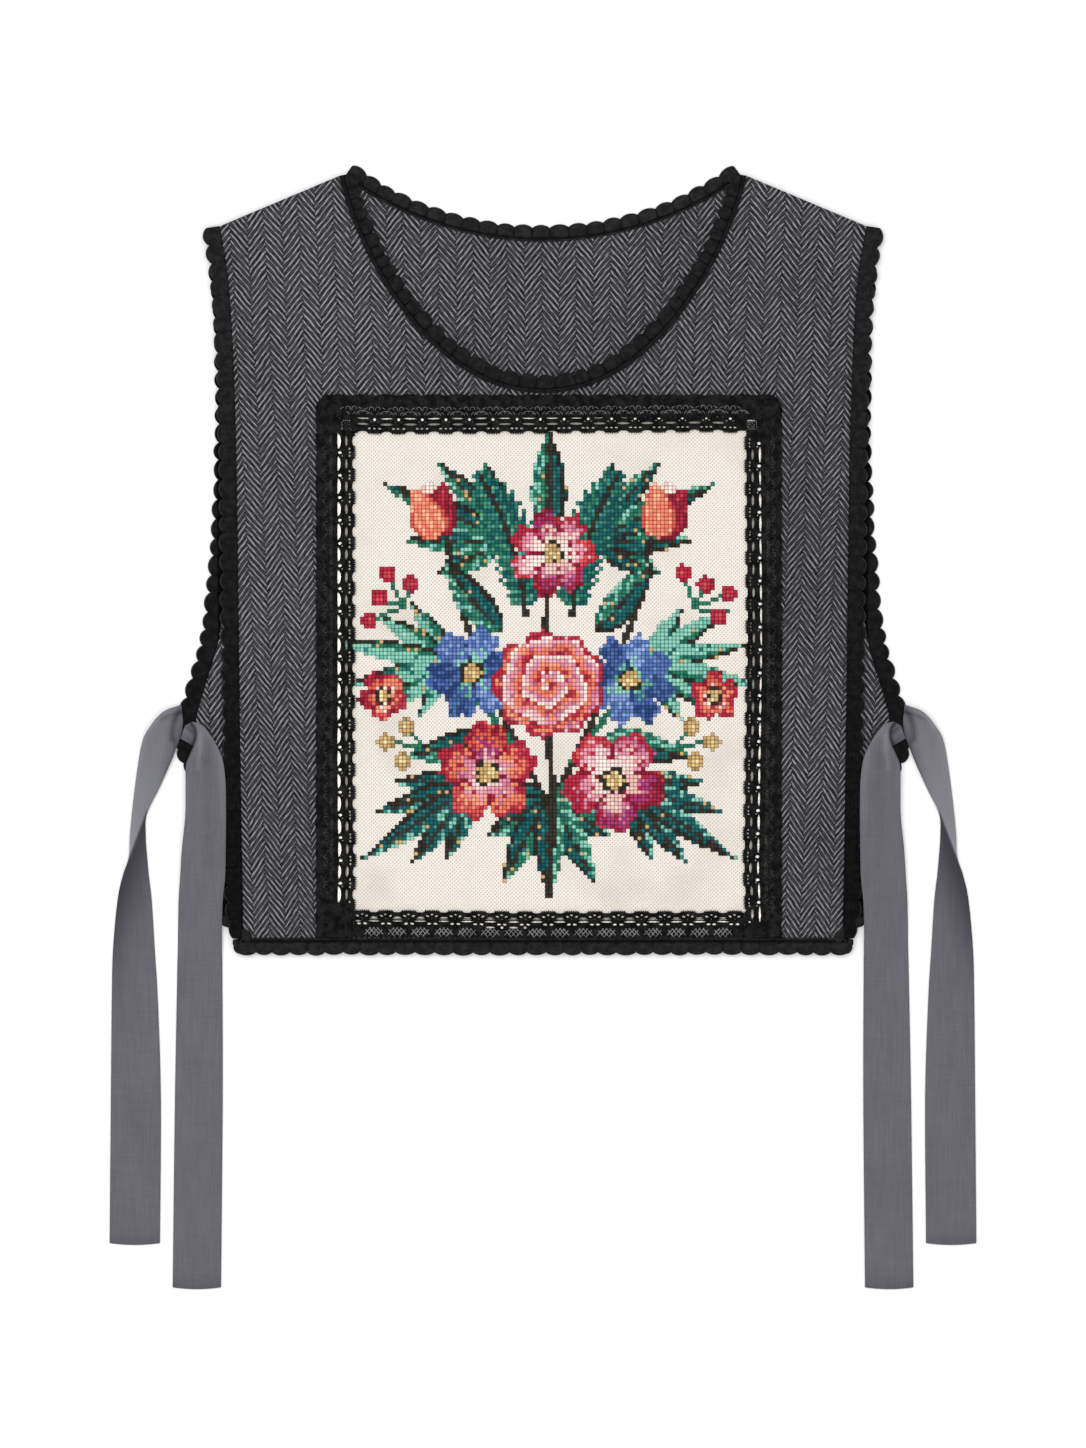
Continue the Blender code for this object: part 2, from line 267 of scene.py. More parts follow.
def shell(name: str, plan: Array, faces: list, top: Array, bottom: Array, finish: Material) -> Object:
    """A closed sheet of cloth over a plan.

    Args:
        name: the object's name.
        plan: points of the plan.
        faces: faces of the plan, each anticlockwise.
        top: height of the upper side at each point.
        bottom: height of the lower side at each point.
        finish: its material.

    Returns:
        The sheet.
    """
    count = len(plan)
    sides = {(a, b) for face in faces for a, b in zip(face, [*face[1:], face[0]])}
    rim = [(a, b) for a, b in sides if (b, a) not in sides]
    under = [[k + count for k in reversed(face)] for face in faces]
    walls = [[a, a + count, b + count, b] for a, b in sorted(rim)]
    verts = np.vstack([raised(plan, top), raised(plan, bottom)])
    return mesh_object(name, verts, [*faces, *under, *walls], finish)


def cut_plan(outline: Array, holes: list, cuts: list) -> tuple[Array, list]:
    """Fills an outline, with its holes, and cuts the fill along straight lines.

    Args:
        outline: points round the cloth.
        holes: outlines of what is cut out.
        cuts: (point, normal) of each straight cut.

    Returns:
        The plan's points and its faces.
    """
    form = bmesh.new()
    if holes:
        curve = bpy.data.curves.new("fill", "CURVE")
        curve.dimensions = "2D"
        curve.fill_mode = "BOTH"
        for loop in [outline, *holes]:
            spline = curve.splines.new("POLY")
            spline.points.add(len(loop) - 1)
            spline.use_cyclic_u = True
            for point, (x, y) in zip(spline.points, loop):
                point.co = (x, y, 0.0, 1.0)
        guide = bpy.data.objects.new("fill", curve)
        bpy.context.scene.collection.objects.link(guide)
        filled = bpy.data.meshes.new_from_object(guide.evaluated_get(bpy.context.evaluated_depsgraph_get()))
        bpy.data.objects.remove(guide)
        form.from_mesh(filled)
        bmesh.ops.remove_doubles(form, verts=form.verts, dist=0.001)
    else:
        form.faces.new([form.verts.new((x, y, 0.0)) for x, y in outline])
    for point, normal in cuts:
        everything = form.verts[:] + form.edges[:] + form.faces[:]
        bmesh.ops.bisect_plane(form, geom=everything, plane_co=(*point, 0), plane_no=(*normal, 0), dist=0.001)
    form.normal_update()
    for face in form.faces:
        if face.normal.z < 0:
            face.normal_flip()
    form.verts.index_update()
    plan = np.array([v.co[:2] for v in form.verts])
    faces = [[v.index for v in face.verts] for face in form.faces]
    form.free()
    return plan, faces


def grid_cuts(low: Array, high: Array, step: float) -> list:
    """Cuts both ways, a step apart, that make a net of squares between two corners of a box."""
    cuts = [((x, 0.0), (1.0, 0.0)) for x in np.arange(low[0] + step / 2, high[0], step)]
    return cuts + [((0.0, y), (0.0, 1.0)) for y in np.arange(low[1] + step / 2, high[1], step)]


def area_of(loop: Array) -> float:
    """Area inside a loop of points."""
    x, y = loop[:, 0], loop[:, 1]
    return abs(float((x * np.roll(y, -1) - y * np.roll(x, -1)).sum())) / 2


def sign(operation: str, swapped: bool = False) -> Callable:
    """What a sign of arithmetic does to a Value and another number: it adds a Math node."""
    return lambda a, b: a.graph.math(operation, *((b, a) if swapped else (a, b)))


class Value:
    """A number that a material's nodes work out, for use with the signs of arithmetic."""

    def __init__(self, graph: "Graph", socket: NodeSocket) -> None:
        """Takes up the output that gives the number."""
        self.graph = graph
        self.socket = socket

    __add__ = __radd__ = sign("ADD")
    __mul__ = __rmul__ = sign("MULTIPLY")
    __sub__, __rsub__ = sign("SUBTRACT"), sign("SUBTRACT", swapped=True)
    __truediv__, __mod__ = sign("DIVIDE"), sign("MODULO")


class Nodes:
    """A tree of nodes, with short ways to add and join them."""

    def __init__(self, tree: NodeTree) -> None:
        """Takes up a tree."""
        self.tree = tree

    def add(self, kind: str, inputs: dict | None = None, **settings: object) -> Node:
        """Adds a node.

        Args:
            kind: its type.
            inputs: a number, a colour or a socket for each input that is named or numbered.
            settings: its other settings.

        Returns:
            The node.
        """
        made = self.tree.nodes.new(kind)
        for key, value in settings.items():
            setattr(made, key, value)
        for key, value in (inputs or {}).items():
            self.put(made.inputs[key], value)
        return made

    def put(self, socket: NodeSocket, value: object) -> None:
        """Joins a socket to another, or sets its value."""
        value = value.socket if isinstance(value, Value) else value
        if isinstance(value, NodeSocket):
            self.tree.links.new(value, socket)
        else:
            socket.default_value = value


class Graph(Nodes):
    """A material's nodes."""

    def __init__(self, name: str, roughness: float, specular: float, sheen: float = 0.0) -> None:
        """Starts a material.

        Args:
            name: the material's name.
            roughness: the shader's roughness.
            specular: the shader's specular level.
            sheen: the shader's sheen.
        """
        self.material = bpy.data.materials.new(name)
        self.material.use_nodes = True
        super().__init__(self.material.node_tree)
        self.shader = self.tree.nodes["Principled BSDF"].inputs
        self.put(self.shader["Roughness"], roughness)
        self.put(self.shader["Specular IOR Level"], specular)
        self.put(self.shader["Sheen Weight"], sheen)
        self.where = self.add("ShaderNodeTexCoord").outputs["Object"]

    def math(self, operation: str, *values: object) -> Value:
        """A Math node's result for these values."""
        made = self.add("ShaderNodeMath", dict(enumerate(values)), operation=operation)
        return Value(self, made.outputs[0])

    def mix(self, share: object, low: object, high: object) -> NodeSocket:
        """A colour between low, where the share is 0, and high, where it is 1."""
        ends = [(*value, 1.0) if isinstance(value, tuple) else value for value in (low, high)]
        return self.add("ShaderNodeMix", {0: share, 6: ends[0], 7: ends[1]}, data_type="RGBA").outputs[2]

    def noise(
        self, scale: float, stretch: tuple = (1.0, 1.0, 1.0), detail: float = 2.0,
        where: NodeSocket | None = None,
    ) -> Value:
        """Soft noise.

        Args:
            scale: its features to a metre.
            stretch: how much finer it is each way.
            detail: its finer layers.
            where: its coordinates, if not the object's own.

        Returns:
            A number about 0.5.
        """
        place = self.add("ShaderNodeMapping", {"Vector": where or self.where, "Scale": stretch}).outputs[0]
        made = self.add("ShaderNodeTexNoise", {"Vector": place, "Scale": scale, "Detail": detail})
        return Value(self, made.outputs[0])

    def step(self, value: Value, low: float, high: float, start: float = 0.0, end: float = 1.0) -> Value:
        """A smooth step from start at low to end at high."""
        inputs = dict(enumerate((value, low, high, start, end)))
        made = self.add("ShaderNodeMapRange", inputs, interpolation_type="SMOOTHSTEP")
        return Value(self, made.outputs[0])

    def attribute(self, name: str) -> Value:
        """A number stored with the mesh."""
        return Value(self, self.add("ShaderNodeAttribute", attribute_name=name).outputs["Fac"])

    def point(self, *place: Value) -> NodeSocket:
        """A place made of three numbers in millimetres."""
        return self.add("ShaderNodeCombineXYZ", dict(enumerate(value * MM for value in place))).outputs[0]

    def toned(self, colour: NodeSocket, tone: object) -> NodeSocket:
        """A colour made lighter or darker."""
        return self.add("ShaderNodeVectorMath", {0: colour, "Scale": tone}, operation="SCALE").outputs[0]

    def plan(self) -> tuple[Value, Value]:
        """X and Y in millimetres."""
        parts = self.add("ShaderNodeSeparateXYZ", {0: self.toned(self.where, 1 / MM)}).outputs
        return Value(self, parts[0]), Value(self, parts[1])

    def done(self, colour: NodeSocket, height: Value, depth: float) -> Material:
        """Joins a colour and a relief to the shader.

        Args:
            colour: the surface's colour.
            height: its relief, from 0 to 1.
            depth: how deep the relief is, in millimetres.

        Returns:
            The material.
        """
        bump = self.add("ShaderNodeBump", {"Distance": depth * MM, "Height": height})
        self.put(self.shader["Normal"], bump.outputs[0])
        self.put(self.shader["Base Color"], colour)
        return self.material


@dataclass(frozen=True)
class HerringboneWool:
    """Tweed of light threads on a dark ground, in upright columns of slanting lines.

    The slope is a line's rise over its run, the lean widens the columns up the cloth, and the offset
    sets the lines of one half of a column off from the other's.
    """

    ground: Colour = (0.0125, 0.0123, 0.0145)
    flecks: Colour = (0.037, 0.037, 0.042)
    second: Colour = (0.062, 0.063, 0.069)
    dull: Colour = (0.132, 0.134, 0.143)
    thread: Colour = (0.262, 0.267, 0.283)
    half_column: float = 10.4
    pitch: float = 4.75
    slope: float = 1.34
    lean: float = 0.0003
    offset: float = 1.9

    def build(self) -> Material:
        """Makes the wool."""
        g = Graph("herringbone_wool", 0.95, 0.04, 0.02)
        x, y = g.plan()
        column = x / (y * self.lean + 1.0) + (g.noise(42.0) - 0.5) * 3.0 + 500.0
        zigzag = g.math("PINGPONG", column, self.half_column)
        number = g.math("FLOOR", column / self.half_column)
        wobble = (g.noise(150.0) - 0.5) * 1.7
        along = zigzag * self.slope + y + number % 2.0 * self.offset + wobble
        fine = g.noise(1600.0, detail=1.0, where=g.point(along, zigzag * 0.3, number * 9.0))
        life = g.noise(210.0)
        ragged = (fine - 0.5) * 0.40 + g.math("PINGPONG", along, self.pitch / 2) / (self.pitch / 2)
        from_end = g.math("MINIMUM", zigzag, self.half_column - zigzag)
        joint = g.step(fine * 1.2 + from_end, 0.20, 0.75)
        mask = g.step(ragged + g.step(from_end, 1.3, 0.0, 0.0, -0.12), 0.48, 0.88) * joint
        between = g.step(ragged, 0.26, 0.06) * g.step(life, 0.58, 0.44) * joint
        ground = g.mix(g.step(fine, 0.45, 0.70), self.ground, self.flecks)
        ground = g.mix(between, ground, self.second)
        thread = g.mix(g.step(life, 0.36, 0.58), self.dull, self.thread)
        colour = g.mix(mask, ground, g.toned(thread, g.step(fine, 0.25, 0.75, 0.85, 1.15)))
        # Soft cloudy tone that varies at random, and painted shade that darkens the cloth towards its right
        # side.
        cloud_and_side_shade = g.step(g.noise(9.0), 0.3, 0.7, 0.90, 1.08) * g.step(x, -250.0, 250.0, 1.03, 0.93)
        return g.done(g.toned(colour, cloud_and_side_shade), fine * 0.4 + mask, 0.35)


@dataclass(frozen=True)
class BlackBraid:
    """Matt black cotton braid with fine ribs along it, with painted shade in its creases and a painted
    highlight along its rim.
    """

    # The colours of the painted shade in the creases, of the cloth, of its worn patches, and of the painted
    # highlight along the rim.
    hollow: Colour = (0.0030, 0.0030, 0.0032)
    face: Colour = (0.0165, 0.0165, 0.0176)
    worn: Colour = (0.0300, 0.0300, 0.0318)
    rim: Colour = (0.0540, 0.0540, 0.0562)
    rib: float = 0.9

    def build(self) -> Material:
        """Makes the braid."""
        g = Graph("black_braid", 0.9, 0.0, 0.012)
        knit = g.noise(1100.0)
        colour = g.mix(g.step(g.noise(240.0) * 0.6 + knit * 0.4, 0.42, 0.62), self.face, self.worn)
        rib = g.math("SINE", g.attribute("out") * (2 * math.pi / self.rib))
        # Fine ribs, and how pale the braid is, darker towards the garment's foot.
        colour = g.toned(colour, rib * 0.14 + g.attribute("wear"))
        # The hollow attribute paints shade into the creases, and where it falls below 0 it paints the rim's
        # highlight.
        hollow = g.attribute("hollow")
        colour = g.mix(g.step(hollow, 0.15, 0.95), colour, self.hollow)
        colour = g.mix(g.step(hollow, -0.10, -0.60), colour, self.rim)
        return g.done(colour, rib * 0.15 + knit, 0.3)


@dataclass(frozen=True)
class CottonLace:
    """Cotton for the lace, as a tangle of fibres, some of which catch the light."""

    name: str = "black_lace"
    shadow: Colour = (0.0060, 0.0060, 0.0063)
    thread: Colour = (0.0195, 0.0195, 0.0202)
    tuft: Colour = (0.0460, 0.0460, 0.0471)

    def build(self) -> Material:
        """Makes the lace."""
        g = Graph(self.name, 0.85, 0.0)
        coarse, fine = (
            g.step(g.math("ABSOLUTE", g.noise(scale, detail=1.0) - 0.5), width, 0.0)
            for scale, width in ((480.0, 0.045), (900.0, 0.06))
        )
        cloud = g.step(g.noise(180.0), 0.38, 0.62)
        colour = g.mix(cloud * 0.5 + coarse * 0.5, self.shadow, self.thread)
        colour = g.mix(fine * (cloud * 0.6 + 0.15), colour, self.tuft)
        return g.done(colour, g.math("MAXIMUM", coarse, fine), 0.3)


# The lace's thin raised threads, which are pale, and its thick ones, a lighter copy of the lace's cotton
# whose colour paints the highlights on its raised threads.
FINE_THREAD = CottonLace("lace_ray", (0.190, 0.190, 0.194), (0.370, 0.370, 0.378), (0.560, 0.560, 0.568))
LIT_THICK_THREAD = CottonLace("lace_thread", (0.020, 0.020, 0.020), (0.062, 0.062, 0.064), (0.150, 0.150, 0.152))


@dataclass(frozen=True)
class EvenweaveCanvas:
    """Cream canvas with two threads to each stitch, darker in its holes.

    Framed and hemmed are steps of painted light and shade under the lace, the first at its sides and top and
    the other at the hem: how far out from its teeth each starts and ends, and the tone that it multiplies by.
    Tones above 1 paint light into the lace's openings, brighter than the lamps could make them, and tones
    below 1 paint shade on the canvas between them.
    """

    hole: Colour = (0.450, 0.400, 0.350)
    thread: Colour = (0.790, 0.745, 0.680)
    stain: Colour = (0.700, 0.645, 0.575)
    pitch: float = 1.27
    framed_light_and_shade: tuple = ((1.3, 1.6, 1.6), (3.5, 3.9, 0.38), (6.9, 7.2, 4.6))
    hemmed_light_and_shade: tuple = ((1.0, 1.3, 2.0), (3.4, 3.6, 0.50), (5.5, 5.7, 2.7))

    def build(self) -> Material:
        """Makes the canvas."""
        g = Graph("cream_canvas", 0.9, 0.1)
        x, y = g.plan()
        across, down, slant = (g.math("COSINE", way * (math.pi / self.pitch)) for way in (x, y, x - y))
        weave = (g.noise(600.0) - 0.5) * 0.9 + slant * 0.25 + across * down
        cover = g.step(weave, 1.15, 0.10)
        aged = g.mix(g.step(g.noise(24.0, detail=4.0), 0.45, 0.75), self.thread, self.stain)
        colour = g.mix(cover, self.hole, aged)
        aside = g.math("ABSOLUTE", x - FRAME_X) - (INNER_RIGHT - FRAME_X)
        out = g.math("MAXIMUM", aside, y - INNER_TOP)
        # Painted light in the lace's openings, and painted shade between them.
        for place, steps in ((out, self.framed_light_and_shade), (HEM_LACE_Y - y, self.hemmed_light_and_shade)):
            for start, end, tone in steps:
                colour = g.toned(colour, g.step(place, start, end, 1.0, tone))
        return g.done(colour, cover, 0.10)


@dataclass(frozen=True)
class TapestryWool:
    """Stranded wool for the stitches, in shades from deep to light, with painted light where each stitch
    stands highest and painted shade at its corners and edges.
    """

    name: str
    deep: Colour
    middle: Colour
    light: Colour

    def build(self) -> Material:
        """Makes one yarn's finish."""
        g = Graph(self.name, 0.9, 0.08, 0.05)
        shade = g.attribute("shade")
        colour = g.mix(g.step(shade, 0.0, 0.5), self.deep, self.middle)
        colour = g.mix(g.step(shade, 0.5, 1.0), colour, self.light)
        strand = g.noise(1500.0, stretch=(1.0, 1.0, 0.6))
        # Painted light and shade: each stitch lighter where it stands highest and darker at its corners and
        # edges.
        crest = g.step(g.attribute("crest"), 0.0, 1.0, 0.36, 1.34)
        return g.done(g.toned(colour, crest * g.step(strand, 0.3, 0.7, 0.86, 1.14)), strand, 0.2)


@dataclass(frozen=True)
class SlubRibbon:
    """Grey ribbon in a plain weave, with slubs along and across it, and painted light and shade from the tone
    stored with its mesh.
    """

    cloth: Colour = (0.106, 0.106, 0.122)
    slub: Colour = (0.133, 0.132, 0.149)
    # Lit is the colour of painted light, and fold that of painted shade in folds, creases and the ribbon's
    # shaded edges.
    lit: Colour = (0.262, 0.262, 0.290)
    fold: Colour = (0.032, 0.032, 0.040)

    def build(self) -> Material:
        """Makes the ribbon."""
        g = Graph("grey_ribbon", 0.85, 0.06, 0.03)
        warp = g.noise(520.0, stretch=(2.4, 0.10, 1.0))
        weft = g.noise(520.0, stretch=(0.16, 2.6, 1.0))
        threads = warp * 0.62 + weft * 0.38
        share = g.noise(60.0, stretch=(1.0, 0.35, 1.0)) * 0.30 + threads * 0.75
        colour = g.mix(g.step(share, 0.36, 0.70), self.cloth, self.slub)
        # The tone paints light above 0 and shade below 0.
        tone = g.attribute("tone")
        colour = g.mix(g.math("MAXIMUM", tone, 0.0), colour, self.lit)
        colour = g.mix(g.math("MAXIMUM", tone * -1.0, 0.0), colour, self.fold)
        return g.done(colour, threads, 0.15)


class GrowingTree(Nodes):
    """A Geometry Nodes tree with one geometry in and out, and named inputs, of which one is the finish."""

    def __init__(self, name: str, sockets: dict[str, str]) -> None:
        """Starts a tree.

        Args:
            name: its name.
            sockets: the kind of each named input.
        """
        super().__init__(bpy.data.node_groups.new(name, "GeometryNodeTree"))
        for way in ("OUTPUT", "INPUT"):
            self.tree.interface.new_socket("Geometry", in_out=way, socket_type="NodeSocketGeometry")
        for label, kind in (sockets | {"Finish": "Material"}).items():
            self.tree.interface.new_socket(label, in_out="INPUT", socket_type="NodeSocket" + kind)
        self.given = self.add("NodeGroupInput").outputs

    def jitter(self, label: str) -> NodeSocket:
        """A random number for each point, up to the named input either way."""
        least = self.add("ShaderNodeMath", {0: self.given[label], 1: -1.0}, operation="MULTIPLY").outputs[0]
        inputs = {2: least, 3: self.given[label], "Seed": self.given["Seed"]}
        return self.add("FunctionNodeRandomValue", inputs, data_type="FLOAT").outputs[1]

    def done(self, made: NodeSocket) -> NodeTree:
        """Makes instances real, smooths them and gives them the finish."""
        real = self.add("GeometryNodeRealizeInstances", {0: made}).outputs[0]
        smooth = self.add("GeometryNodeSetShadeSmooth", {0: real}).outputs[0]
        painted = self.add("GeometryNodeSetMaterial", {"Geometry": smooth, "Material": self.given["Finish"]})
        self.add("NodeGroupOutput", {0: painted.outputs[0]})
        return self.tree


class Growth:
    """The two Geometry Nodes trees: one repeats a motif, the other runs a cord along a path."""

    def __init__(self) -> None:
        """Builds both trees."""
        self.repeat_tree = self._repeat()
        self.cord_tree = self._cord()

    @staticmethod
    def _repeat() -> NodeTree:
        """Sets a motif on each point, turned along the point's way and scaled by its size."""
        tree = GrowingTree(
            "repeat_motif", {"Motif": "Object", "Turn jitter": "Float", "Size jitter": "Float", "Seed": "Int"}
        )
        motif = tree.add("GeometryNodeObjectInfo", {"As Instance": True, "Object": tree.given["Motif"]})
        way, size = (
            tree.add("GeometryNodeInputNamedAttribute", {"Name": label}, data_type="FLOAT_VECTOR").outputs[0]
            for label in ("way", "size")
        )
        aligned = tree.add("FunctionNodeAlignRotationToVector", {"Vector": way}, axis="X", pivot_axis="Z")
        spin = tree.add("ShaderNodeCombineXYZ", {2: tree.jitter("Turn jitter")})
        turned = tree.add(
            "FunctionNodeRotateRotation", {0: aligned.outputs[0], 1: spin.outputs[0]}, rotation_space="LOCAL"
        )
        grown = tree.add("ShaderNodeMath", {0: tree.jitter("Size jitter"), 1: 1.0}, operation="ADD")
        scaled = tree.add("ShaderNodeVectorMath", {0: size, "Scale": grown.outputs[0]}, operation="SCALE")
        placed = tree.add("GeometryNodeInstanceOnPoints", {
            "Points": tree.given["Geometry"], "Instance": motif.outputs["Geometry"],
            "Rotation": turned.outputs[0], "Scale": scaled.outputs[0],
        })
        return tree.done(placed.outputs[0])

    @staticmethod
    def _cord() -> NodeTree:
        """Runs a round cord along the input's edges."""
        tree = GrowingTree("run_cord", {"Radius": "Float", "Sides": "Int"})
        path = tree.add("GeometryNodeMeshToCurve", {"Mesh": tree.given["Geometry"]})
        ring = tree.add("GeometryNodeCurvePrimitiveCircle", {
            "Radius": tree.given["Radius"], "Resolution": tree.given["Sides"],
        })
        swept = tree.add(
            "GeometryNodeCurveToMesh",
            {"Curve": path.outputs[0], "Profile Curve": ring.outputs[0], "Fill Caps": True},
        )
        return tree.done(swept.outputs[0])

    @staticmethod
    def _grow(name: str, base: Object, tree: NodeTree, values: dict) -> Object:
        """A plain mesh of what a tree makes of a base, whose object is removed.

        Args:
            name: the new object's name.
            base: the points or the path.
            tree: the tree.
            values: what each named input is set to.

        Returns:
            The object.
        """
        grower = base.modifiers.new("grow", "NODES")
        grower.node_group = tree
        for item in tree.interface.items_tree:
            if item.in_out == "INPUT" and item.name in values:
                grower[item.identifier] = values[item.name]
        bpy.context.view_layer.update()
        result = base.evaluated_get(bpy.context.evaluated_depsgraph_get())
        mesh = bpy.data.meshes.new_from_object(result)
        bpy.data.objects.remove(base)
        mesh.name = name
        for label in ("way", "size"):
            if mesh.attributes.get(label):
                mesh.attributes.remove(mesh.attributes[label])
        return linked(name, mesh)

    def repeat(
        self, name: str, points: Array, motif: Object, finish: Material,
        ways: Array | None = None, sizes: Array | None = None, extra: dict | None = None,
        turn: float = 0.0, size: float = 0.0,
    ) -> Object:
        """Sets a motif on each point.

        Args:
            name: the new object's name.
            points: where the motifs go.
            motif: the object to repeat.
            finish: its material.
            ways: each motif's way, if not X.
            sizes: each motif's scale along, across and up, if not 1.
            extra: more numbers to store with each motif.
            turn: the most that a motif turns at random, in radians.
            size: the most that its scale changes at random.

        Returns:
            The motifs as one object.
        """
        count = len(points)
        base = mesh_object("points", points, [])
        ways = np.tile((1.0, 0.0), (count, 1)) if ways is None else ways
        add_attribute(base, "way", raised(ways, 0.0))
        add_attribute(base, "size", np.ones((count, 3)) if sizes is None else sizes)
        for label, values in (extra or {}).items():
            add_attribute(base, label, values)
        return self._grow(name, base, self.repeat_tree, {
            "Motif": motif, "Turn jitter": turn, "Size jitter": size, "Seed": SEED, "Finish": finish,
        })

    def cord(
        self, name: str, paths: list[Array], radius: float, finish: Material, sides: int = 8
    ) -> Object:
        """Runs a cord along each path.

        Args:
            name: the new object's name.
            paths: the points of each path.
            radius: the cord's radius.
            finish: its material.
            sides: how many sides it has.

        Returns:
            The cords as one object.
        """
        starts = np.cumsum([0] + [len(path) for path in paths]).tolist()
        edges = [(k, k + 1) for start, end in zip(starts, starts[1:]) for k in range(start, end - 1)]
        base = mesh_object("paths", np.vstack(paths), [], edges=edges)
        values = {"Radius": radius * MM, "Sides": sides, "Finish": finish}
        return self._grow(name, base, self.cord_tree, values)


class Workroom:
    """What every piece is made with: the trees and the finishes."""

    def __init__(self) -> None:
        """Fits out the room."""
        self.growth = Growth()
        self.wool = HerringboneWool().build()
        self.braid = BlackBraid().build()
        self.lace = CottonLace().build()
        self.fine_thread = FINE_THREAD.build()
        self.lit_thick_thread = LIT_THICK_THREAD.build()
        self.canvas = EvenweaveCanvas().build()
        self.ribbon = SlubRibbon().build()


def settle(piece: Object, slot: str, *nodes: str) -> Object:
    """Puts a finished piece on the garment's body.

    Args:
        piece: the piece.
        slot: the record's material slot, which is not used.
        nodes: the solids that it stands for.

    Returns:
        The piece.
    """
    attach(piece, "root")
    if nodes:
        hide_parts(*nodes)
    triangles = sum(len(face.vertices) - 2 for face in piece.data.polygons)
    log.info("%s: %d triangles", piece.name, triangles)
    return piece


@dataclass
class Piece:
    """Something that is made in the workroom."""

    room: Workroom


@dataclass
class Panel(Piece):
    """A wool panel: a thin sheet, cut to its neck, shoulders, sides and hem."""

    name: str
    node: str
    neck: Array
    side: Array
    floor: float
    cell: float = 5.6
    size: Array | None = None
    area: float = 0.0

    def build(self) -> Object:
        """Makes the panel, and notes its size and area.

        Returns:
            The panel.
        """
        outline = np.vstack([self.neck, self.side, mirrored(self.side)])
        low, high = outline.min(0), outline.max(0)
        self.size, self.area = high - low, area_of(outline)
        plan, faces = cut_plan(outline, [], grid_cuts(low, high, self.cell))
        bottom = np.full(len(plan), self.floor)
        sheet = shell(self.name, plan, faces, bottom + WOOL + self.lift(plan), bottom, self.room.wool)
        return settle(sheet, "wool", self.node)

    @staticmethod
    def lift(plan: Array) -> Array:
        """The slight unevenness of the cloth at each point of a plan."""
        x, y = plan.T
        return 0.12 * np.sin(x / 23.0 + y / 61.0) + 0.1 * np.sin(y / 37.0 - x / 90.0)


# How far out the hem's cord bends down, and the bend.
HEM_BEND = 197.4
HEM_HOOK = np.array([(0.0, 0.0), (1.2, -0.3), (2.0, -1.2), (2.4, -2.6), (2.3, -4.4)])


@dataclass(frozen=True)
class Scallop:
    """Shape of a braid: its scallops, how they vary, and the cords between them and the cloth.

    A scallop's length runs along the braid. Valley and tip are how far out its ends and its middle reach, and
    start is where it begins. Flat and crease are how flat its middle is and how deep its ends fall. Lightness
    is how pale the braid is, and low the share of that at the garment's foot, so that it grows darker towards
    the bottom. Flank is the length of the scallops at the braid's ends over that of the others.
    """

    length: float
    valley: float
    tip: float
    start: float
    flat: float
    crease: float
    vary: float
    cords: tuple
    # How pale the braid is; low makes it darker towards the garment's foot.
    wear: float
    flank: float = 1.0
    low: float = 1.0


class ScallopSize(Enum):
    """The braid as it lies in each place."""

    SIDE = Scallop(12.2, 8.8, 12.0, -0.7, 6.0, 0.45, 0.12, (), 0.66, low=0.40)
    FRONT_NECK = Scallop(
        12.2, 8.6, 12.0, 2.3, 4.0, 1.00, 0.20, ((0.45, 0.62), (1.75, 0.62)), 0.58, flank=0.70
    )
    BACK_NECK = Scallop(12.4, 8.6, 10.9, 2.2, 5.0, 1.00, 0.07, ((0.7, 0.75),), 0.76)
    HEM = Scallop(11.8, 9.0, 11.0, 2.2, 4.0, 0.50, 0.10, ((0.6, 0.72),), 0.74)


@dataclass(frozen=True)
class Nub:
    """A lobe set apart from its row: its place, the way of its tip, and its scale."""

    x: float
    y: float
    tip_x: float
    tip_y: float
    scale: float

    def on(self, side: int) -> "Nub":
        """The lobe on the right (1) or on the left (-1)."""
        return replace(self, x=side * self.x, tip_x=side * self.tip_x)


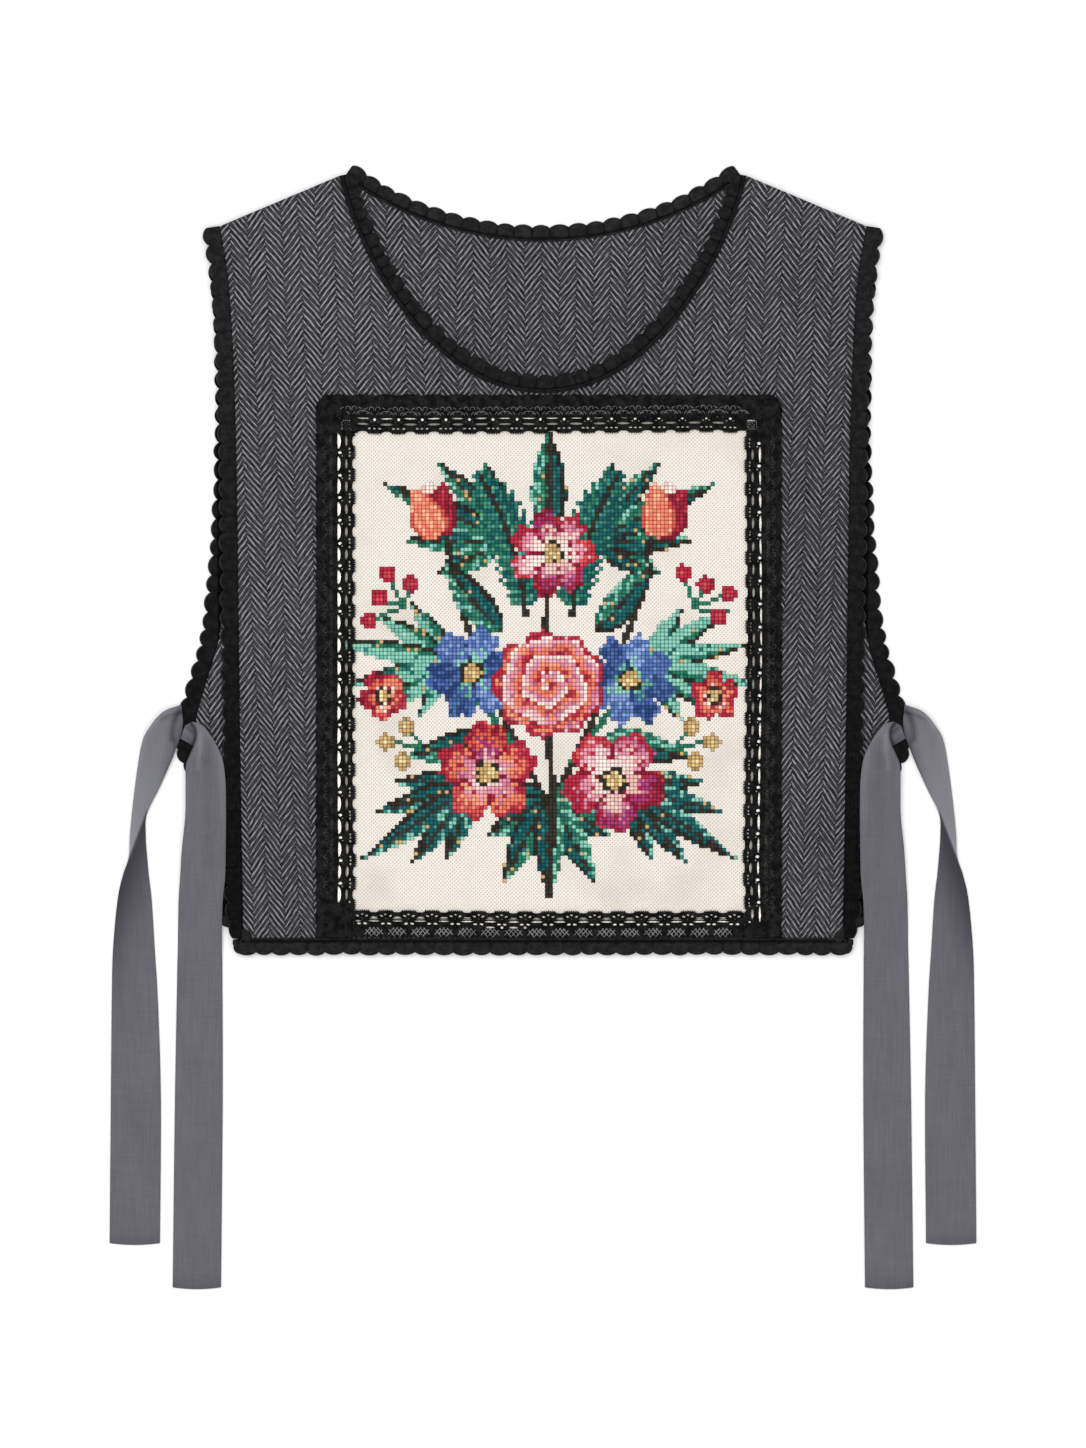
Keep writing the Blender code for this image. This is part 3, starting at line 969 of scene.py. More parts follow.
@dataclass
class Braid(Piece):
    """Scalloped braid along the left of a line.

    Narrow is the place in the row of a scallop that runs into a corner, trim is how much of the line
    is left bare at both ends, and over is the line of a braid that lies across this one.
    """

    name: str
    node: str
    line: Array
    size: ScallopSize
    floor: float
    height: float
    narrow: int | None = None
    trim: float = 0.0
    nubs: tuple = ()
    over: Array | None = None
    puffs: tuple = (13, 11)
    spans: int = 400
    outer: float = 8.8
    seam: float = 0.04
    wall: float = 0.22
    swell: float = 0.86
    tape_top: float = 0.9
    tape: float = 0.8
    shade_width: float = 14.3

    def motif(self) -> Object:
        """One scallop, at the origin, lying along X with its tip towards Y.

        Returns:
            The scallop, closed below, with how hollow and how far out each of its points is.
        """
        scallop = self.size.value
        columns, rows = self.puffs
        half = scallop.length / 2 - self.seam
        low = scallop.valley - 0.1
        verts, hollow = [], []
        for v in 0.5 - 0.5 * np.cos(np.linspace(0.0, math.pi, rows)):
            for u in np.sin(np.linspace(-math.pi / 2, math.pi / 2, columns)):
                base = scallop.start + 0.9 * abs(u) ** 5
                tip = low + (scallop.tip - scallop.valley + 0.1) * (1 - u * u) ** 0.80
                sides = 1 - scallop.crease * abs(u) ** scallop.flat
                ends = 1 - abs(2 * v - 1) ** scallop.flat
                puff = (sides * ends) ** 0.5
                # A painted highlight: a pale rim just inside the scallop's tip.
                rim_light = 1.1 * math.exp(-((v - 0.97) / 0.03) ** 2) * (abs(u) < 0.97)
                height = self.height * (self.wall + self.swell * puff)
                verts.append((u * half, base + (tip - base) * v, height))
                # Painted shade, darkest where the scallop falls away at its ends and walls, less the painted
                # highlight.
                hollow.append(1 - puff - rim_light)
        faces = net_faces(rows, columns)
        count = len(verts)
        rim = [*range(columns), *range(2 * columns - 1, count, columns)]
        rim += [*range(count - 2, count - columns - 1, -1), *range(count - 2 * columns, 0, -columns)]
        below = range(count, count + len(rim))
        verts += [(verts[k][0] * 0.97, verts[k][1], 0.0) for k in rim]
        # Full painted shade on the walls below.
        hollow += [1.0] * len(rim)
        for a, b, under_a, under_b in zip(rim, rim[1:] + rim[:1], below, [*below[1:], below[0]]):
            faces.append([b, a, under_a, under_b])
        faces.append([*reversed(below)])
        made = mesh_object("scallop", verts, faces)
        add_attribute(made, "hollow", np.clip(hollow, -1.0, 1.0))
        add_attribute(made, "out", np.array([y for _, y, _ in verts]))
        return made

    def backing(self, line: Array) -> Object:
        """The flat tape that carries the cords and the scallops.

        Args:
            line: the cloth's edge.

        Returns:
            The tape.
        """
        reach = np.full(len(line), self.size.value.valley - 0.3)
        if self.narrow is not None:
            reach[self.narrow] *= 0.6
        plan = np.vstack([offset(line, -0.6), offset(line, reach)])
        top = np.full(len(plan), self.floor + self.tape_top)
        tape = shell("tape", plan, net_faces(2, len(line)), top, top - self.tape, self.room.braid)
        # Painted shade on the whole tape, which lies below the scallops.
        add_attribute(tape, "hollow", np.full(2 * len(plan), 0.62))
        return tape

    def cords(self, line: Array) -> list[Object]:
        """The cords that lie between the cloth and the scallops.

        Args:
            line: the cloth's edge.

        Returns:
            The cords, one object each.
        """
        smooth = resample(smooth_curve(line, 3), max(4, round(length_of(line) / 4.0)))
        made = []
        for aside, radius in self.size.value.cords:
            path = offset(smooth, aside)
            if self.trim:
                path = path[np.abs(path[:, 0]) < HEM_BEND]
                right = HEM_HOOK[::-1] + (HEM_BEND, path[0, 1])
                left = HEM_HOOK * (-1, 1) + (-HEM_BEND, path[-1, 1])
                path = np.vstack([right, path, left])
            rise = self.floor + self.height - radius * 1.2
            cord = self.room.growth.cord("cord", [raised(path, rise)], radius, self.room.braid)
            z = points_of(cord)[:, 2]
            # Painted shade, darker down the lower side of the cord.
            add_attribute(cord, "hollow", np.clip(0.8 * (rise + radius - z) / radius - 0.30, 0.0, 0.7))
            made.append(cord)
        return made

    def row(self, line: Array) -> tuple[Array, Array, Array]:
        """Where the scallops lie.

        Args:
            line: the cloth's edge, in equal spans.

        Returns:
            Each scallop's place, the way along it, and its scale along, across and up.
        """
        scallop = self.size.value
        base = offset(line, GAP)
        count = round(length_of(base) / scallop.length / ((1 + scallop.flank) / 2))
        random = np.random.default_rng(SEED + len(self.name))
        aside = np.abs(np.linspace(-1.0, 1.0, count))
        shares = 1 - (1 - scallop.flank) * np.clip(2.5 * aside - 0.6, 0.0, 1.0)
        shares = shares * (1 + random.uniform(-scallop.vary, scallop.vary, count))
        ends = np.concatenate([[0.0], np.cumsum(shares)]) / shares.sum() * self.spans
        middles, steps = (ends[1:] + ends[:-1]) / 2, np.arange(self.spans + 1)
        chords = [
            np.linalg.norm(np.diff(rows_at(edge, steps, ends), axis=0), axis=1)
            for edge in (base, offset(base, self.outer))
        ]
        sizes = np.column_stack([
            1.01 * np.maximum(*chords) / scallop.length, 1 + random.uniform(-0.03, 0.03, count),
            1 + random.uniform(-0.10, 0.06, count),
        ])
        if self.narrow is not None:
            sizes[self.narrow, 1] *= 0.78
        sizes[:, 1] *= 1 - 0.15 * (1 - scallop.flank) * (aside > 0.6)
        return rows_at(base, steps, middles), rows_at(headings(base), steps, middles), sizes

    def build(self) -> Object:
        """Makes the braid.

        Returns:
            The braid.
        """
        line = resample(self.line, self.spans)
        whole = length_of(line)
        kept = np.linspace(self.trim, whole - self.trim, self.spans + 1)
        line = rows_at(line, np.linspace(0.0, whole, self.spans + 1), kept)
        place, way, sizes = self.row(line)
        for nub in self.nubs:
            place = np.vstack([place, (nub.x, nub.y)])
            way = np.vstack([way, (nub.tip_y, -nub.tip_x)])
            sizes = np.vstack([sizes, (nub.scale, nub.scale, 0.9)])
        motif = self.motif()
        scallops = self.room.growth.repeat(
            self.name, raised(place, self.floor), motif, self.room.braid, way, sizes, turn=0.03
        )
        bpy.data.objects.remove(motif)
        tape_line = resample(line, max(8, round(whole / 5.0)))
        braid = joined(self.name, [scallops, *self.cords(tape_line), self.backing(tape_line)])
        scallop, y = self.size.value, points_of(braid)[:, 1]
        # How pale each braid is, darker towards the garment's foot.
        add_attribute(braid, "wear", scallop.wear * np.interp(y, (-75.0, 270.0), (scallop.low, 1.0)))
        if self.over is not None:
            self.shade(braid)
        return settle(braid, "edging", self.node)

    def shade(self, braid: Object) -> None:
        """Darkens what lies in the shade of the braid on the line called over."""
        away = np.linalg.norm(points_of(braid)[:, None, :2] - resample(self.over, self.spans), axis=-1).min(1)
        hollow = np.zeros(len(away), np.float32)
        layer = braid.data.attributes["hollow"].data
        layer.foreach_get("value", hollow)
        dark = 0.9 * np.clip((self.shade_width - away) / 1.3, 0.0, 1.0)
        layer.foreach_set("value", hollow + dark.astype(np.float32))


@dataclass(frozen=True)
class TieRow:
    """One section of a ribbon's underside: its two edges, and how far its middle rises over them.

    Tones go from the outer edge over the middle to the inner edge: above 0 light, below 0 shaded.
    """

    outer: tuple
    inner: tuple
    crown: float
    tones: tuple = (0.0, 0.0, 0.0)


@dataclass(frozen=True)
class Fold:
    """Where a ribbon turns over: the fold's line, and how dark the painted shade on the other side is beside
    it.
    """

    start: tuple
    end: tuple
    shade: float
    reach: float


@dataclass(frozen=True)
class Crease:
    """A soft line of light (above 0) or shade (below 0) on a ribbon."""

    tone: float
    width: float
    line: tuple

    def tone_at(self, plan: Array) -> Array:
        """The tone that it gives each point of a plan."""
        line = resample(smooth_curve(self.line, 4), 24)
        away = np.linalg.norm(plan[..., None, :] - line, axis=-1).min(-1)
        return self.tone * np.exp(-(away / self.width) ** 2)


@dataclass
class Tie(Piece):
    """A ribbon tie, from the side point down to its free end, on the right (1) or on the left (-1)."""

    name: str
    node: str
    rows: tuple
    side: int
    fold: Fold | None
    creases: tuple = ()
    thickness: float = 0.7
    end_bow: float = 1.2
    least_z: float = 0.05
    fold_rise: float = 0.9
    fold_fade: float = 14.0
    fold_edge: float = 0.25
    fold_early: float = 2.0
    fold_end: float = 0.6
    steps: int = 8
    across: int = 22
    length: float = 0.0
    width: float = 0.0

    def build(self) -> Object:
        """Makes the tie, and notes its length and width.

        Returns:
            The tie.
        """
        outer = smooth_curve([row.outer for row in self.rows], self.steps)
        inner = smooth_curve([row.inner for row in self.rows], self.steps)
        crown = np.maximum(smooth_curve([(row.crown, 0.0) for row in self.rows], self.steps)[:, :1], 0.0)
        t = np.linspace(0.0, 1.0, self.across)[None, :, None]
        under = outer[:, None, :] * (1 - t) + inner[:, None, :] * t
        under[:, :, 2] += crown * (1 - (2 * t[:, :, 0] - 1) ** 2)
        under[-1, :, 1] -= self.end_bow * (1 - (2 * t[0, :, 0] - 1) ** 2)
        under[:, :, 2] = np.maximum(under[:, :, 2], self.least_z)
        tone, lift = self.shading(under)
        under[:, :, 2] += lift
        under[:, :, 0] *= self.side
        rows, columns = under.shape[:2]
        plan = under.reshape(-1, 3)
        faces = [(face[1:] + face[:1])[::self.side] for face in net_faces(rows, columns)]
        low = plan[:, 2]
        ribbon = shell(self.name, plan[:, :2], faces, low + self.thickness, low, self.room.ribbon)
        add_attribute(ribbon, "tone", np.tile(tone.ravel(), 2))
        self.length = length_of(under[:, columns // 2])
        self.width = float(np.linalg.norm(under[-2, -1, :2] - under[-2, 0, :2]))
        return settle(ribbon, "ribbon", self.node)

    def shading(self, under: Array) -> tuple[Array, Array]:
        """The tone of each point, and how much a fold lifts it.

        Args:
            under: the points of the underside, as rows of sections.

        Returns:
            The tone, below 0 for shade and above 0 for light, and the lift in millimetres.
        """
        t = np.linspace(-1.0, 1.0, self.across)
        edges = smooth_curve([row.tones for row in self.rows], self.steps)
        tone = edges[:, 1:2] * (1 - t ** 2) + (edges[:, :1] * (1 - t) + edges[:, 2:] * (1 + t)) / 2 * t ** 2
        tone = tone + sum(crease.tone_at(under[:, :, :2]) for crease in self.creases)
        if not self.fold:
            return tone, np.zeros(tone.shape)
        start, end = np.array(self.fold.start), np.array(self.fold.end)
        way = (end - start) / np.linalg.norm(end - start)
        far = under[:, :, :2] - start
        along = far @ way
        aside = far[:, :, 0] * way[1] - far[:, :, 1] * way[0]
        over, past = aside / self.fold_edge, (along + self.fold_early) / self.fold_end
        beyond = 1 / (1 + np.exp(-over)) / (1 + np.exp(-past))
        shade = self.fold.shade * np.exp(-(np.maximum(aside, 0.0) / self.fold.reach) ** 1.7)
        near = np.exp(np.minimum(aside, 0.0) / self.fold_fade)
        near *= np.exp(-(np.minimum(along, 0.0) / self.fold_fade) ** 2)
        return beyond * shade + (1 - beyond) * tone, (1 - beyond) * self.fold_rise * near


class Yarn(Enum):
    """The yarns, each with its deep, middle and light shade."""

    TEAL = ((0.004, 0.052, 0.060), (0.010, 0.105, 0.105), (0.050, 0.235, 0.215))
    GREEN = ((0.006, 0.075, 0.052), (0.022, 0.170, 0.105), (0.110, 0.340, 0.215))
    MINT = ((0.085, 0.300, 0.235), (0.210, 0.510, 0.400), (0.420, 0.680, 0.560))
    UMBER = ((0.012, 0.011, 0.009), (0.036, 0.029, 0.022), (0.110, 0.080, 0.050))
    BLUE = ((0.020, 0.050, 0.165), (0.070, 0.140, 0.370), (0.250, 0.360, 0.640))
    CRIMSON = ((0.210, 0.009, 0.028), (0.400, 0.020, 0.045), (0.620, 0.090, 0.085))
    CORAL = ((0.560, 0.080, 0.055), (0.760, 0.190, 0.115), (0.860, 0.420, 0.260))
    ROSE = ((0.330, 0.035, 0.150), (0.680, 0.240, 0.330), (0.860, 0.560, 0.560))
    BLUSH = ((0.720, 0.420, 0.380), (0.850, 0.640, 0.580), (0.900, 0.770, 0.700))
    GOLD = ((0.230, 0.135, 0.050), (0.520, 0.340, 0.140), (0.800, 0.640, 0.330))


YARNS = list(Yarn)
LEAFY = (Yarn.TEAL, Yarn.GREEN)


class Chart:
    """The needlework's chart: a yarn and a shade for each stitch, drawn by rule from flowers and leaves.

    X runs from the middle to the right and Y from the lowest row up, both in stitches.
    """

    def __init__(self, width: int, height: int) -> None:
        """Starts a bare chart.

        Args:
            width: stitches across.
            height: stitches up.
        """
        self.x, self.y = np.meshgrid(np.arange(width) - (width - 1) / 2, np.arange(height) + 0.0)
        self.yarn = np.full(self.x.shape, -1)
        self.shade = np.zeros(self.x.shape)
        self.random = np.random.default_rng(SEED)
        self.grain = self.random.random(self.x.shape)

    def lay(self, where: Array, yarn: Yarn, shade: float | Array) -> None:
        """Works a mask of stitches in one yarn, in one shade or in one for each of the chart's stitches."""
        self.yarn[where] = YARNS.index(yarn)
        self.shade[where] = np.broadcast_to(shade, self.x.shape)[where]

    def frame_at(self, root: tuple, heading: float, bend: float = 0.0) -> tuple[Array, Array]:
        """How far each stitch lies along and aside of a line.

        Args:
            root: where the line starts.
            heading: its way, in degrees from X.
            bend: how much it curves to its left, per stitch.

        Returns:
            The distances along and aside.
        """
        turn = math.radians(heading)
        dx, dy = self.x - root[0], self.y - root[1]
        along = dx * math.cos(turn) + dy * math.sin(turn)
        aside = dy * math.cos(turn) - dx * math.sin(turn)
        return along, aside - bend * along * np.abs(along)

    def leaf(
        self, root: tuple, heading: float, length: float, width: float, yarns: tuple = LEAFY,
        bend: float = 0.0,
    ) -> None:
        """A leaf with a light vein, one dark side and one light side.

        Args:
            root: its foot.
            heading: its way, in degrees.
            length: its length.
            width: half its width.
            yarns: its dark and light yarns.
            bend: how it curves.
        """
        along, aside = self.frame_at(root, heading, bend)
        t = np.clip(along / length, 0.0, 1.0)
        half = width * np.sin(np.pi * t ** 0.72) ** 0.85
        inside = (along > 0) & (along < length) & (np.abs(aside) < np.maximum(half, 0.5))
        depth = 1 - np.abs(aside) / np.maximum(half, 0.6)
        streak = 0.5 + 0.5 * np.sin(1.25 * (along - np.abs(aside) * 1.7))
        tone = 0.10 + 0.25 * depth + 0.40 * streak * (0.5 + 0.5 * self.grain) + 0.30 * (self.grain - 0.5)
        self.lay(inside & (aside < 0), yarns[0], tone)
        self.lay(inside & (aside >= 0), yarns[1], tone + 0.15)
        self.lay(inside & (self.grain > 0.64) & (self.grain < 0.76), Yarn.TEAL, tone + 0.2)
        if width > 2.2:
            lit = inside & (aside > 0) & (depth < 0.62) & (streak + self.grain > 1.05)
            self.lay(lit, Yarn.MINT, 0.10 + 0.5 * self.grain)
            vein = inside & (np.abs(aside) < 0.55) & (t < 0.88) & (self.grain > 0.2)
            self.lay(vein, Yarn.MINT if width < 3.2 else Yarn.UMBER, 0.15 + 0.5 * self.grain)
            self.lay(inside & (self.grain < 0.03), Yarn.GOLD, 0.45)
        rim = inside & (np.abs(aside) > half - (1.15 if width > 3 else 0.8)) & (aside < 0)
        self.lay(rim & (self.grain > 0.15), Yarn.UMBER if width > 1.8 else yarns[0], 0.1 + 0.3 * self.grain)

    def spray(
        self, root: tuple, heading: float, length: float, count: int, spread: float,
        yarns: tuple = LEAFY, width: float = 2.3,
    ) -> None:
        """Slender leaves that spread from one point, the middle one longest and in front.

        Args:
            root: where they meet.
            heading: the middle leaf's way, in degrees.
            length: the middle leaf's length.
            count: how many there are.
            spread: the angle from first to last, in degrees.
            yarns: their dark and light yarns.
            width: half a leaf's width.
        """
        places = np.linspace(-1.0, 1.0, count)
        for k, place in sorted(enumerate(places), key=lambda item: -abs(item[1])):
            reach = length * (1 - 0.42 * abs(place) ** 1.3) * (1 - 0.10 * (k % 2))
            self.leaf(root, heading + place * spread / 2, reach, width, yarns, bend=-0.006 * place)

    def stem(self, points: list, yarn: Yarn, width: float) -> None:
        """A stem.

        Args:
            points: what it runs through.
            yarn: its yarn.
            width: half its width.
        """
        line = smooth_curve(np.array(points, float), 12)
        for a, b in zip(line, line[1:]):
            way = b - a
            share = ((self.x - a[0]) * way[0] + (self.y - a[1]) * way[1]) / max(way @ way, 1e-9)
            share = np.clip(share, 0.0, 1.0)
            far = np.hypot(self.x - a[0] - share * way[0], self.y - a[1] - share * way[1])
            self.lay(far < width, yarn, 0.2 + 0.35 * self.grain)

    def frond(self, root: tuple, heading: float, length: float, leaflet: float, bend: float) -> None:
        """A fern frond: pairs of leaflets that grow smaller along a curved rib.

        Args:
            root: its foot.
            heading: its way, in degrees.
            length: its length.
            leaflet: the longest leaflet's length.
            bend: how much the rib turns, in degrees.
        """
        place = np.array(root, float)
        turn = heading
        count = int(length / 2.9)
        rib = [tuple(place)]
        for k in range(count):
            t = (k + 1) / count
            turn += bend / count
            place = place + 2.9 * np.array([math.cos(math.radians(turn)), math.sin(math.radians(turn))])
            rib.append(tuple(place))
            reach = leaflet * math.sin(math.pi * (0.12 + 0.83 * t)) ** 0.7
            for side in (-1, 1):
                self.leaf(tuple(place), turn + side * (58 - 18 * t), reach, 1.55)
        self.stem(rib, Yarn.UMBER, 0.6)

    def bloom(
        self, middle: tuple, radius: float, petals: int, yarns: tuple, turn: float, heart: float = 0.22
    ) -> None:
        """An open flower: petals that darken to their edges, round a stitched heart.

        Args:
            middle: its middle.
            radius: its radius.
            petals: how many petals it has.
            yarns: its yarns from the edge inwards.
            turn: how far it is turned, in degrees.
            heart: the heart's share of the radius.
        """
        dx, dy = self.x - middle[0], self.y - middle[1]
        far = np.hypot(dx, dy) / radius
        angle = np.arctan2(dy, dx) - math.radians(turn)
        wave = np.abs(np.cos(angle * petals / 2))
        edge = (0.60 + 0.40 * wave ** 0.5) * (1 - 0.05 * np.sin(angle * petals * 2.5))
        inside = far < edge
        petal = np.round(angle * petals / (2 * np.pi)) % petals
        share = np.clip(far / edge + 0.09 * np.cos(petal * 2.4) + (self.grain - 0.5) * 0.30, 0.0, 1.0)
        band = np.clip(((1 - share) ** 0.85 * len(yarns)).astype(int), 0, len(yarns) - 1)
        light = np.clip(0.45 + 0.35 * np.cos(petal * 1.7 + turn) + 0.5 * (self.grain - 0.5), 0.0, 1.0)
        for k, yarn in enumerate(yarns):
            self.lay(inside & (band == k), yarn, light)
        streak = np.abs(np.sin(angle * petals * 1.5)) < 0.25
        self.lay(inside & streak & (far > 0.35) & (far < edge - 0.12) & (self.grain > 0.45), yarns[0], 0.4)
        seam = inside & (wave < 0.16) & (far > heart * 1.1)
        self.lay(seam, yarns[0], 0.05)
        rim = inside & (far > edge - 0.8 / radius) & (self.grain > 0.3)
        self.lay(rim, yarns[0], 0.2 + 0.5 * self.grain)
        self.lay(far < heart, Yarn.GOLD, 0.3 + 0.7 * self.grain)
        self.lay((far < heart * 1.25) & (far > heart * 0.75) & (self.grain > 0.45), Yarn.UMBER, 0.3)

    def peony(self, middle: tuple, radius: float, yarns: tuple) -> None:
        """A full flower whose petals wind inwards.

        Args:
            middle: its middle.
            radius: its radius.
            yarns: the yarns from deep to light.
        """
        dx, dy = self.x - middle[0], self.y - middle[1]
        far = np.hypot(dx, dy * 1.06) / radius
        angle = np.arctan2(dy, dx)
        edge = 0.88 + 0.12 * np.abs(np.sin(angle * 4.5))
        inside = far < edge
        turn = (far * 3.1 + angle / (2 * np.pi) + 0.10 * np.sin(angle * 5)) % 1.0
        folds = np.abs(np.sin(angle * 3 + np.floor(far * 3.1 + angle / (2 * np.pi)) * 1.3))
        tone = np.clip(0.75 * turn + 0.25 * folds + (self.grain - 0.5) * 0.25, 0.0, 0.999)
        band = (tone * len(yarns)).astype(int)
        for k, yarn in enumerate(yarns):
            self.lay(inside & (band == k), yarn, 0.2 + 0.6 * (tone * len(yarns) % 1.0))
        self.lay(inside & (far > edge - 1.0 / radius), yarns[0], 0.3 + 0.4 * self.grain)

    def tulip(self, root: tuple, heading: float, length: float, width: float, yarns: tuple) -> None:
        """A closed cup of three petals with pointed tips.

        Args:
            root: the foot of the cup.
            heading: its way, in degrees.
            length: its length.
            width: half its width.
            yarns: the yarns of its shaded, lit and inner petals.
        """
        self.petal(root, heading, length, width * 0.75, yarns[2], 0.25)
        self.petal(root, heading - 16, length * 0.97, width * 0.62, yarns[0], 0.15)
        self.petal(root, heading + 16, length * 0.97, width * 0.62, yarns[1], 0.5)

    def petal(
        self, root: tuple, heading: float, length: float, width: float, yarn: Yarn, base: float
    ) -> None:
        """A plain petal with a dark edge.

        Args:
            root: its foot.
            heading: its way, in degrees.
            length: its length.
            width: half its width.
            yarn: its yarn.
            base: the shade that its veins and its edge are set off from.
        """
        along, aside = self.frame_at(root, heading)
        t = np.clip(along / length, 0.0, 1.0)
        half = width * np.sin(np.pi * t ** 0.62) ** 0.7
        inside = (along > 0) & (along < length) & (np.abs(aside) < half)
        depth = 1 - np.abs(aside) / np.maximum(half, 0.5)
        veins = 0.22 * np.cos(aside * 2.3) * (self.grain > 0.25)
        self.lay(inside, yarn, np.clip(base + veins + 0.35 * depth * t + 0.4 * (self.grain - 0.4), 0.0, 1.0))
        self.lay(inside & (depth < 0.9 / width), yarn, 0.02)

    def berries(self, root: tuple, heading: float, count: int, yarn: Yarn) -> None:
        """A spray of round berries on short stalks.

        Args:
            root: where the stalks meet.
            heading: the spray's way, in degrees.
            count: how many berries there are.
            yarn: their yarn.
        """
        for k in range(count):
            turn = math.radians(heading + (k - (count - 1) / 2) * 44)
            reach = 6.5 + 3.0 * (k % 2)
            tip = (root[0] + reach * math.cos(turn), root[1] + reach * math.sin(turn))
            self.stem([root, tip], Yarn.GREEN, 0.5)
            far = np.hypot(self.x - tip[0], self.y - tip[1])
            self.lay(far < 2.2, yarn, 0.75 - 0.3 * far + 0.3 * self.grain)

    def draw(self) -> None:
        """Draws the bouquet, from the stitches that lie furthest back to the flowers in front."""
        pink = (Yarn.CRIMSON, Yarn.ROSE, Yarn.BLUSH, Yarn.BLUSH)
        warm = (Yarn.CRIMSON, Yarn.CORAL, Yarn.ROSE, Yarn.BLUSH)
        red = (Yarn.CRIMSON, Yarn.CORAL, Yarn.BLUSH)
        sky = (Yarn.BLUE, Yarn.BLUE, Yarn.MINT)
        dark = (Yarn.TEAL, Yarn.TEAL)
        pale = (Yarn.GREEN, Yarn.MINT)
        for side in (-1, 1):
            self.spray((side * 12, 98), 90 - side * 66, 34, 5, 120, width=3.6)
            self.spray((side * 26, 66), 90 - side * 92, 31, 6, 130, pale, 2.7)
            self.spray((side * 21, 33), 90 - side * 124, 33, 5, 92, dark, 3.2)
            self.stem([(0, 28), (side * 12, 52), (side * 22, 78), (side * 27, 100)], Yarn.UMBER, 0.8)
            self.stem([(side * 6, 40), (side * 26, 66)], Yarn.GREEN, 0.8)
            self.stem([(0, 24), (side * 12, 28), (side * 21, 33)], Yarn.GREEN, 0.8)
            self.frond((side * 6, 78), 90 - side * 4, 40, 8.5, -side * 26)
            self.leaf((side * 12, 44), 90 - side * 88, 25, 4.6, bend=-side * 0.006)
            self.leaf((side * 12, 74), 90 - side * 50, 24, 4.4, bend=side * 0.008)
            self.tulip((side * 29, 98), 90 - side * 10, 15, 7.4, red)
            self.berries((side * 38, 80), 90 - side * 46, 4, Yarn.CRIMSON)
            self.berries((side * 33, 44), 90 - side * 84, 3, Yarn.GOLD)
            self.bloom((side * 43, 57), 6.5, 5, red, turn=20 * side, heart=0.3)
        self.spray((0, 30), -90, 27, 7, 190, width=4.2)
        self.stem([(0, 5), (1, 30), (-1, 60), (0, 96)], Yarn.UMBER, 0.8)
        self.leaf((0, 100), 90, 26, 4.6)
        self.bloom((-20, 63), 12.0, 6, sky, turn=10)
        self.bloom((21, 61), 12.0, 8, sky, turn=30)
        self.bloom((-16, 37), 13.0, 5, warm, turn=20)
        self.bloom((17, 35), 13.5, 5, pink, turn=-16)
        self.bloom((1, 94), 11.5, 7, pink, turn=0.0)
        self.peony((0, 60), 15.0, (Yarn.CRIMSON, Yarn.CORAL, Yarn.ROSE, Yarn.BLUSH))


